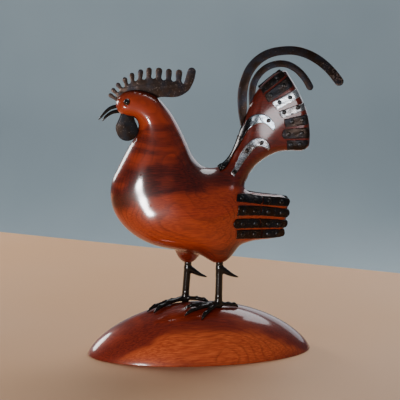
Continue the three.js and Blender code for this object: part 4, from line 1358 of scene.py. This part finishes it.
class Nodes:
    """The node tree of one material."""

    def __init__(self, name: str) -> None:
        """Makes a material with an empty node tree.

        Args:
            name: The material's name.
        """
        self.material = bpy.data.materials.new(name)
        self.material.use_nodes = True
        self.tree = self.material.node_tree
        self.tree.nodes.clear()

    def add(self, kind: str, settings: dict | None = None, links: dict | None = None) -> bpy.types.Node:
        """Adds a node with its settings and links.

        Args:
            kind: The node's type.
            settings: Values by attribute name, or by input name or number.
            links: Output sockets by the name or number of the input that they feed.

        Returns:
            The new node.
        """
        node = self.tree.nodes.new(kind)
        for key, value in (settings or {}).items():
            if isinstance(key, str) and hasattr(node, key):
                setattr(node, key, value)
            else:
                node.inputs[key].default_value = value
        for key, source in (links or {}).items():
            self.tree.links.new(source, node.inputs[key])
        return node

    def math(self, operation: str, first: object, second: object = 0.0) -> object:
        """Adds a math node.

        Args:
            operation: The node's operation.
            first: A socket or number.
            second: A socket or number.

        Returns:
            The output socket.
        """
        node = self.add("ShaderNodeMath", {"operation": operation})
        for number, value in enumerate((first, second)):
            if isinstance(value, bpy.types.NodeSocket):
                self.tree.links.new(value, node.inputs[number])
            else:
                node.inputs[number].default_value = value
        return node.outputs[0]

    def range(self, value: object, low: float, high: float, start: float = 0.0, end: float = 1.0) -> object:
        """Maps a value smoothly from one range to another.

        Args:
            value: The socket to map.
            low: Value that gives the start.
            high: Value that gives the end.
            start: Result at low.
            end: Result at high.

        Returns:
            The output socket.
        """
        node = self.add("ShaderNodeMapRange", {
            "interpolation_type": "SMOOTHSTEP",
            "From Min": low, "From Max": high, "To Min": start, "To Max": end,
        }, {"Value": value})
        return node.outputs[0]

    def noise(self, vector: object, scale: float, detail: float = 3.0, roughness: float = 0.5) -> object:
        """Adds a noise texture.

        Args:
            vector: Socket with the places.
            scale: Cells to one unit of the places.
            detail: How many finer layers are added.
            roughness: How strong the finer layers are.

        Returns:
            The socket of its factor.
        """
        node = self.add("ShaderNodeTexNoise", {
            "Scale": scale, "Detail": detail, "Roughness": roughness,
        }, {"Vector": vector})
        return node.outputs["Fac"]

    def vector(self, operation: str, first: object, second: object) -> object:
        """Adds a vector math node.

        Args:
            operation: The node's operation.
            first: A socket.
            second: A socket or three numbers.

        Returns:
            The output socket.
        """
        node = self.add("ShaderNodeVectorMath", {"operation": operation}, {0: first})
        if isinstance(second, bpy.types.NodeSocket):
            self.tree.links.new(second, node.inputs[1])
        else:
            node.inputs[1].default_value = second
        return node.outputs[0]

    def blend(self, factor: object, first: object, second: object) -> object:
        """Mixes two colours.

        Args:
            factor: A socket or number, 0 for the first colour and 1 for the second.
            first: A socket or linear colour.
            second: A socket or linear colour.

        Returns:
            The output socket.
        """
        node = self.add("ShaderNodeMix", {"data_type": "RGBA"})
        for number, value in ((0, factor), (6, first), (7, second)):
            if isinstance(value, bpy.types.NodeSocket):
                self.tree.links.new(value, node.inputs[number])
            else:
                node.inputs[number].default_value = value
        return node.outputs[2]

    def millimetres(self) -> object:
        """Returns object coordinates in millimetres."""
        place = self.add("ShaderNodeTexCoord")
        return self.vector("MULTIPLY", place.outputs["Object"], (1 / MM, 1 / MM, 1 / MM))

    def finish(self, settings: dict, links: dict) -> bpy.types.Material:
        """Adds the surface shader and the output.

        Args:
            settings: Values by the names of the shader's inputs.
            links: Output sockets by the names of the shader's inputs.

        Returns:
            The material.
        """
        shader = self.add("ShaderNodeBsdfPrincipled", settings, links)
        self.add("ShaderNodeOutputMaterial", {}, {"Surface": shader.outputs[0]})
        return self.material


def colour(code: str) -> tuple[float, float, float, float]:
    """Turns an sRGB colour such as 7A2A12 into a linear one.

    Args:
        code: Six hex digits.

    Returns:
        Red, green and blue, and 1 for solid.
    """
    parts = [int(code[start:start + 2], 16) / 255 for start in (0, 2, 4)]
    linear = [part / 12.92 if part <= 0.04045 else ((part + 0.055) / 1.055) ** 2.4 for part in parts]
    return (*linear, 1.0)


@dataclass(frozen=True)
class WoodFinish:
    """Clear gloss lacquer, brushed on over carved rosewood: sharp highlights over a deep red grain.

    The growth rings are 2.3 mm apart round the pith. Fibres run along X. The dark heartwood lies above
    an arched edge and pales to the outer colour towards the head. Below a given height the wood is
    darkened towards the heart colour as painted shade. Under its lacquer the wood itself reflects little,
    so its own IOR is low.
    """

    name: str
    pith: tuple[float, float, float]
    edge_height: float
    edge_middle: float
    edge_arch: float
    painted_shade_height: float
    sap: str = "8A2B10"
    sap_light: str = "AE4118"
    heart: str = "360801"
    heart_light: str = "641604"
    outer: str = "A4360F"
    ring: float = 2.3

    def material(self) -> bpy.types.Material:
        """Builds the nodes: warped places, rings, fibres, the heartwood's edge, bands and pores.

        Returns:
            The material.
        """
        nodes = Nodes(self.name)
        place = nodes.millimetres()
        bend = nodes.add("ShaderNodeTexNoise", {"Scale": 0.022, "Detail": 1.5}, {"Vector": place})
        centred = nodes.vector("SUBTRACT", bend.outputs["Color"], (0.5, 0.5, 0.5))
        moved = nodes.vector("ADD", nodes.vector("MULTIPLY", centred, (14.0, 14.0, 14.0)), place)
        away = nodes.vector("SUBTRACT", moved, self.pith)
        flat = nodes.vector("MULTIPLY", away, (0.12, 1.0, 0.5))
        radius = nodes.add("ShaderNodeVectorMath", {"operation": "LENGTH"}, {0: flat}).outputs["Value"]
        uneven = nodes.noise(nodes.vector("MULTIPLY", place, (0.006, 0.03, 0.03)), 1.0, 2.0)
        radius = nodes.math("ADD", radius, nodes.math("MULTIPLY", uneven, 9.0))
        turn = nodes.math("FRACT", nodes.math("DIVIDE", radius, self.ring))
        late = nodes.math("MULTIPLY", nodes.range(turn, 0.55, 0.92), nodes.range(turn, 0.93, 1.0, 1.0, 0.0))
        fibre = nodes.noise(nodes.vector("MULTIPLY", place, (0.07, 1.1, 1.1)), 1.0, 4.0, 0.6)
        broad = nodes.noise(nodes.vector("MULTIPLY", place, (0.012, 0.05, 0.05)), 1.0, 2.0)
        parts = nodes.add("ShaderNodeSeparateXYZ", {}, {0: moved}).outputs
        off = nodes.math("SUBTRACT", parts[0], self.edge_middle)
        arch = nodes.math("MULTIPLY", nodes.math("MULTIPLY", off, off), self.edge_arch)
        above = nodes.math("ADD", nodes.math("SUBTRACT", parts[2], self.edge_height), arch)
        above = nodes.math("ADD", above, nodes.range(broad, 0.3, 0.7, -5.0, 5.0))
        feather = nodes.math("ADD", above, nodes.range(fibre, 0.25, 0.75, -3.0, 3.0))
        heartwood = nodes.range(feather, -3.0, 4.5)
        patch = nodes.noise(nodes.vector("MULTIPLY", place, (0.03, 0.03, 0.05)), 1.0, 2.0)
        # Painted shade: below a given height the wood is darkened towards the heart colour; from here the
        # heartwood share also holds this painted shade.
        below = nodes.math("SUBTRACT", self.painted_shade_height, parts[2])
        heartwood = nodes.math("MAXIMUM", heartwood, nodes.range(below, -4.0, 10.0, 0.0, 0.8))
        light = nodes.range(fibre, 0.3, 0.75)
        sap = nodes.blend(light, colour(self.sap), colour(self.sap_light))
        heart = nodes.blend(light, colour(self.heart), colour(self.heart_light))
        upper = nodes.math("ADD", above, nodes.range(patch, 0.3, 0.7, -14.0, 14.0))
        bands = nodes.noise(nodes.vector("MULTIPLY", moved, (0.012, 0.02, 0.1)), 1.0, 3.0, 0.55)
        head = nodes.range(upper, 48.0, 64.0)
        banded = nodes.math("MAXIMUM", nodes.range(bands, 0.4, 0.64, 0.2, 0.9), head)
        paler = nodes.math("MULTIPLY", nodes.range(upper, 16.0, 40.0), banded)
        paler = nodes.math("MULTIPLY", paler, nodes.range(parts[0], 14.0, 40.0, 0.9, 0.1))
        heart = nodes.blend(paler, heart, colour(self.outer))
        wood = nodes.blend(heartwood, sap, heart)
        ring_share = nodes.math("MULTIPLY", late, nodes.range(broad, 0.35, 0.65, 0.06, 0.4))
        wood = nodes.blend(ring_share, wood, colour(self.heart))
        pores = nodes.noise(nodes.vector("MULTIPLY", place, (0.35, 5.0, 5.0)), 1.0, 2.0)
        bump = nodes.add("ShaderNodeBump", {"Strength": 0.05, "Distance": 0.0001}, {"Height": pores})
        rough = nodes.range(fibre, 0.2, 0.8, 0.34, 0.46)
        return nodes.finish({
            "Coat Weight": 1.0, "Coat Roughness": 0.12, "Coat IOR": 1.55, "IOR": 1.25,
        }, {"Base Color": wood, "Roughness": rough, "Normal": bump.outputs[0]})


@dataclass(frozen=True)
class IronFinish:
    """Forged and brushed iron: dark fire scale with a temper tint, and paler bared metal where it is worn.

    Patches are about 12 mm across, brushed lines 0.4 mm apart and hammer dents about 6 mm. Worn is how
    far the pale metal spreads. Between two places along X it spreads further, by a given share: ground
    metal on the hook, and a painted highlight towards the plumes' tips.
    """

    name: str
    dark: str
    tint: str
    light: str
    roughness: tuple[float, float]
    worn: float
    brush: tuple[float, float, float] = (0.2, 2.5, 2.5)
    dent: float = 0.25
    metallic: float = 0.9
    speckle: float = 0.6
    bare_and_highlight_span: tuple[float, float] = (500.0, 600.0)
    bare_and_highlight_share: float = 0.12

    def material(self) -> bpy.types.Material:
        """Builds the nodes: oxide patches, worn patches, brushed lines and hammer dents.

        Returns:
            The material.
        """
        nodes = Nodes(self.name)
        place = nodes.millimetres()
        patches = nodes.noise(place, 0.085, 3.0, 0.55)
        fine = nodes.noise(place, 0.7, 4.0, 0.6)
        lines = nodes.noise(nodes.vector("MULTIPLY", place, self.brush), 1.0, 3.0, 0.6)
        oxide = nodes.blend(nodes.range(patches, 0.4, 0.62), colour(self.dark), colour(self.tint))
        wear_and_highlight = nodes.math("ADD", nodes.math("MULTIPLY", fine, self.speckle),
                          nodes.math("MULTIPLY", lines, 1 - self.speckle))
        along = nodes.add("ShaderNodeSeparateXYZ", {}, {0: place}).outputs[0]
        # Paler along a span of X: ground metal on the hook, and a painted highlight towards the plumes'
        # tips.
        wear_and_highlight = nodes.math("ADD", wear_and_highlight, nodes.range(along, self.bare_and_highlight_span[0], self.bare_and_highlight_span[1], 0.0, self.bare_and_highlight_share))
        wear_and_highlight = nodes.range(wear_and_highlight, 0.58 - self.worn, 0.7 - self.worn)
        metal = nodes.blend(wear_and_highlight, oxide, colour(self.light))
        cloud = nodes.math("ADD", patches, nodes.math("MULTIPLY", fine, 0.4))
        rough = nodes.range(cloud, 0.45, 0.95, self.roughness[0], self.roughness[1])
        dents = nodes.noise(place, 0.16, 1.0, 0.4)
        dented = nodes.math("MULTIPLY", dents, self.dent)
        height = nodes.math("ADD", dented, nodes.math("MULTIPLY", lines, 0.02))
        bump = nodes.add("ShaderNodeBump", {"Strength": 0.6, "Distance": 0.002}, {"Height": height})
        return nodes.finish({"Metallic": self.metallic}, {
            "Base Color": metal, "Roughness": rough, "Normal": bump.outputs[0],
        })


@dataclass(frozen=True)
class BeadFinish:
    """Polished black glass bead: near black, with one small sharp highlight."""

    name: str = "polished_black_bead"

    def material(self) -> bpy.types.Material:
        """Builds the nodes: near black with a faint cloud under a clear gloss.

        Returns:
            The material.
        """
        nodes = Nodes(self.name)
        cloud = nodes.noise(nodes.millimetres(), 0.6, 2.0)
        dark = nodes.blend(cloud, colour("070606"), colour("16100D"))
        gloss = {"Roughness": 0.06, "Coat Weight": 1.0, "Coat Roughness": 0.02}
        return nodes.finish(gloss, {"Base Color": dark})


def face(item: bpy.types.Object, place: np.ndarray, target: np.ndarray) -> None:
    """Puts a light or camera at a place, facing a target, upright.

    Args:
        item: The light or camera.
        place: Where it stands, in millimetres.
        target: The point that it faces.
    """
    back = unit(place - target)
    right = unit(np.cross([0, 0, 1], back))
    up = np.cross(back, right)
    matrix = np.eye(4)
    matrix[:3, 0] = right
    matrix[:3, 1] = up
    matrix[:3, 2] = back
    matrix[:3, 3] = place * MM
    item.matrix_world = matrix.T


@dataclass(frozen=True)
class Lamp:
    """A soft oval light that faces a point. The camera doesn't see it. Spread is its beam in degrees."""

    name: str
    place: tuple[float, float, float]
    target: tuple[float, float, float]
    size: tuple[float, float]
    watts: float
    tint: tuple[float, float, float]
    spread: float = 180.0

    def build(self) -> None:
        """Makes the light."""
        data = bpy.data.lights.new(self.name, "AREA")
        data.shape = "ELLIPSE"
        data.size, data.size_y = np.array(self.size) * MM
        data.energy = self.watts
        data.color = self.tint
        data.spread = math.radians(self.spread)
        light = bpy.data.objects.new(self.name, data)
        light.visible_camera = False
        bpy.context.scene.collection.objects.link(light)
        face(light, np.array(self.place), np.array(self.target))


WARM = (1.0, 0.98, 0.97)
NEUTRAL = (1.0, 0.99, 0.97)
COOL = (0.93, 0.97, 1.0)

# Two windows to the left, the sky behind on the right, a small fill for the tail and two for the wall.
LAMPS = (
    Lamp("window_left", (-531, -823, 47), (-50, -22, 145), (165, 120), 7.0, WARM),
    Lamp("window_back", (-708, 708, 380), (-60, 0, 160), (430, 330), 4.9, NEUTRAL),
    Lamp("sky_right", (620, 800, 380), (0, 0, 120), (900, 500), 1.6, (0.88, 0.93, 1.0)),
    Lamp("sky_back", (400, 550, 1000), (0, 0, 120), (1000, 700), 8.0, (0.95, 0.97, 1.0)),
    Lamp("fill_right", (104, -112, 205), (63, -9, 211), (44, 40), 0.005, (0.96, 0.97, 1.0), 60.0),
    Lamp("wall_high", (0, 1250, 480), (0, 1900, -120), (3000, 300), 6.6, COOL),
    Lamp("wall_low", (0, 1730, -800), (0, 1900, -250), (3000, 300), 14.0, COOL),
)


@dataclass(frozen=True)
class Studio:
    """Plain pale floor and wall, soft lights and the camera.

    The floor ends at an edge that runs from far left to near right, and the wall stands beyond it.
    """

    azimuth: float = -6.5
    elevation: float = 12.0
    distance: float = 1300.0
    target: tuple[float, float, float] = (0.5, 0.0, 141.2)
    lens: float = 130.0
    wall_colour: str = "86959C"
    wall_place: float = 1900.0
    wall_half: float = 3000.0
    wall_span: tuple[float, float] = (-1400.0, 2200.0)
    floor_colour: str = "DEA876"
    floor_edge: tuple[tuple[float, float], ...] = ((-900.0, 900.0), (900.0, -120.0))
    floor_front: float = -620.0
    air_colour: str = "A4ACB4"
    air_strength: float = 0.28

    def build(self) -> None:
        """Makes floor, wall, lights, world and camera."""
        (left_x, left_y), (right_x, right_y) = self.floor_edge
        front = [(right_x, self.floor_front, 0.0), (left_x, self.floor_front, 0.0)]
        edge = [(left_x, left_y, 0.0), (right_x, right_y, 0.0)]
        self.stage_sheet("studio_floor", self.floor_colour, [*front, *edge])
        low, high = self.wall_span
        left, right = -self.wall_half, self.wall_half
        corners = ((left, low), (right, low), (right, high), (left, high))
        self.stage_sheet("studio_wall", self.wall_colour, [(x, self.wall_place, z) for x, z in corners])
        for lamp in LAMPS:
            lamp.build()
        world = bpy.data.worlds.new("studio")
        bpy.context.scene.world = world
        world.use_nodes = True
        background = world.node_tree.nodes["Background"]
        background.inputs["Color"].default_value = colour(self.air_colour)
        background.inputs["Strength"].default_value = self.air_strength
        self.camera()

    def stage_sheet(self, name: str, code: str, corners: list[tuple[float, float, float]]) -> None:
        """Makes the painted floor or wall as one plain, faintly clouded sheet between four corners.

        Args:
            name: Name of the sheet and of its paint.
            code: The paint's colour, six hex digits.
            corners: The corners, in order.
        """
        mesh = bpy.data.meshes.new(name)
        mesh.from_pydata(np.array(corners) * MM, [], [(0, 1, 2, 3)])
        nodes = Nodes(name)
        cloud = nodes.noise(nodes.millimetres(), 0.004, 2.0)
        tone = nodes.blend(nodes.math("MULTIPLY", cloud, 0.12), colour(code), colour("FFFFFF"))
        mesh.materials.append(nodes.finish({"Roughness": 0.6}, {"Base Color": tone}))
        sheet = bpy.data.objects.new(name, mesh)
        bpy.context.scene.collection.objects.link(sheet)

    def camera(self) -> None:
        """Makes the camera at the photograph's viewing angle."""
        turn, rise = math.radians(self.azimuth), math.radians(self.elevation)
        back = np.array([
            math.sin(turn) * math.cos(rise), -math.cos(turn) * math.cos(rise), math.sin(rise),
        ])
        data = bpy.data.cameras.new("camera")
        data.lens = self.lens
        data.sensor_width = 36.0
        camera = bpy.data.objects.new("camera", data)
        bpy.context.scene.collection.objects.link(camera)
        target = np.array(self.target)
        face(camera, target + self.distance * back, target)
        bpy.context.scene.camera = camera


class Rooster:
    """The whole sculpture: its finishes, its carving and all that is nailed to it."""

    def __init__(self) -> None:
        """Sets up the carving and mixes every finish."""
        self.carving = Carving()
        # The body's heartwood crosses the breast and the saddle as a dark band. Below about 60 mm over the
        # crown the belly and thighs are darkened as painted shade.
        self.body_wood = WoodFinish(
            "lacquered_rosewood_body", (-20, 110, 125),
            edge_height=CROWN + 109, edge_middle=3, edge_arch=0.0036, painted_shade_height=CROWN + 60,
        ).material()
        # The base is cut with its pith below, so its grain arches like a flame, and is a lighter piece. Its
        # lowest few millimetres are darkened as painted shade.
        self.base_wood = WoodFinish(
            "lacquered_rosewood_base", (5, 60, -60),
            edge_height=33, edge_middle=12, edge_arch=0.0045, painted_shade_height=5,
            sap="A03A16", sap_light="D2622C", heart="5E1606", heart_light="8C2A0E",
        ).material()
        # The scale from the forge is left on plates and wattles: dark, with a dull sheen.
        self.iron = IronFinish(
            "forged_iron_oxidised", "362B25", "2C2D32", "7C736D", (0.32, 0.48), 0.02,
        ).material()
        # The comb is brushed up and down, which leaves it brown-grey with fine upright lines.
        self.upright_iron = IronFinish(
            "forged_iron_brushed_upright", "54443C", "3E3B40", "A8948A", (0.34, 0.5), 0.02,
            brush=(2.5, 2.5, 0.2),
        ).material()
        # The plumes keep their blue-brown temper colours, and towards the tips they are painted paler as a
        # painted highlight.
        self.plume_iron_tip_highlight = IronFinish(
            "forged_iron_painted_tip_highlight", "3E3029", "3A3A42", "A08A80", (0.3, 0.46), -0.02,
            bare_and_highlight_span=(96.0, 128.0),
        ).material()
        # Half ground: grey metal with some scale left in the hollows.
        self.grey = IronFinish(
            "forged_iron_half_ground", "686464", "74787E", "D0CCCA", (0.2, 0.38), 0.08,
            dent=0.15, speckle=0.3,
        ).material()
        # Ground to bright metal, nearly white where a light meets it.
        self.bright = IronFinish(
            "forged_iron_ground_bright", "A4A4A6", "A8B0B8", "F6F6F8", (0.2, 0.3), 0.12,
            dent=0.06, speckle=0.15,
        ).material()
        # Brushed along its length: silver with grey streaks.
        self.strap_iron = IronFinish(
            "forged_iron_brushed_strap", "8A8280", "848C96", "E6E6EA", (0.2, 0.34), 0.08,
            dent=0.08, speckle=0.25,
        ).material()
        # Dark along the tail's edge and ground bright on the hook.
        self.hook_iron = IronFinish(
            "forged_iron_ground_hook", "2C2320", "26282C", "B4C0CA", (0.2, 0.32), -0.1,
            dent=0.06, speckle=0.2, bare_and_highlight_span=(36.0, 54.0), bare_and_highlight_share=0.4,
        ).material()
        # Blackened with oil or paint, so mostly not metallic: black with a crisp line of light.
        self.black = IronFinish(
            "forged_iron_blackened", "18130F", "201C1A", "54463C", (0.14, 0.24), -0.06,
            dent=0.1, metallic=0.25,
        ).material()
        # Nail heads are rubbed by the hammer, a little paler than the plates.
        self.nail = IronFinish(
            "forged_nail_heads", "3A332F", "43464A", "9C958E", (0.24, 0.4), 0.0, dent=0.1,
        ).material()
        self.bead = BeadFinish().material()

    def build(self) -> None:
        """Makes every piece."""
        Piece("base", BASE.surface(), (self.base_wood,), Slot.WOOD, ("base",), sharp=60).place()
        Piece("body", self.carving.surface(), (self.body_wood,), Slot.WOOD, ("body",)).place()
        self.metal("comb", Comb().surface(), self.upright_iron)
        for plume in PLUMES:
            self.metal(plume.name, plume.surface(), self.plume_iron_tip_highlight)
        for beak in BEAKS:
            self.metal(beak.name, beak.surface(), self.black)
        for leg in self.legs():
            Piece(leg.name, leg.surface(), (self.black,), Slot.IRON, (leg.name,)).place()
        for label, side in SIDES.items():
            self.flank(label, side)

    def metal(self, name: str, surface: Surface, *materials: bpy.types.Material) -> None:
        """Places a piece of forged iron."""
        Piece(name, surface, materials, Slot.IRON, (name,), sharp=35).place()

    def legs(self) -> tuple[Leg, ...]:
        """Returns both legs with their toes.

        Returns:
            The left leg and the right leg.
        """
        near, far = self.carving.thighs
        return (
            Leg("left_leg", near, (17.2, -9.2), (16.2, -10.2),
                ((-14.5, -12.5), (-15.5, -21), (-0.8, -26), (34.5, -7))),
            Leg("right_leg", far, (-9.5, 9.2), (-12.2, 9.4),
                ((-48, -2.5), (-42.5, -9.5), (-36, 20), (8, -4.5))),
        )

    def flank(self, label: str, side: int) -> None:
        """Makes eye, wattle, straps and plates of one side.

        Args:
            label: The side's name.
            side: LEFT or RIGHT.
        """
        eye = EyeBead().surface(self.carving, side)
        Piece(f"{label}_eye", eye, (self.bead,), Slot.BEAD, (f"{label}_eye",)).place()
        self.metal(f"{label}_wattle", Wattle().surface(side), self.iron)
        for strap in STRAPS:
            name = f"{label}_{strap.name}"
            surface = strap.surface(self.carving, side)
            finish = self.hook_iron if strap.rim else self.strap_iron
            Piece(name, surface, (finish, self.nail), Slot.BRIGHT, (name,), sharp=40).place()
        rump = [plate for row, entry in enumerate(RUMP_ROWS) for plate in entry.plates(2 * row + 1)]
        metals = {Metal.DARK: self.iron, Metal.GREY: self.grey, Metal.BRIGHT: self.bright}
        for plate in (*TAIL_PLATES, *rump):
            surface = plate.surface(self.carving, side)
            self.metal(f"{label}_{plate.name}", surface, metals[plate.metal], self.nail)


def main() -> None:
    """Builds the sculpture in its studio."""
    logging.basicConfig(level=logging.INFO, format="%(name)s: %(message)s")
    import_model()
    Rooster().build()
    Studio().build()
    bpy.context.view_layer.update()


if __name__ == "__main__":
    main()
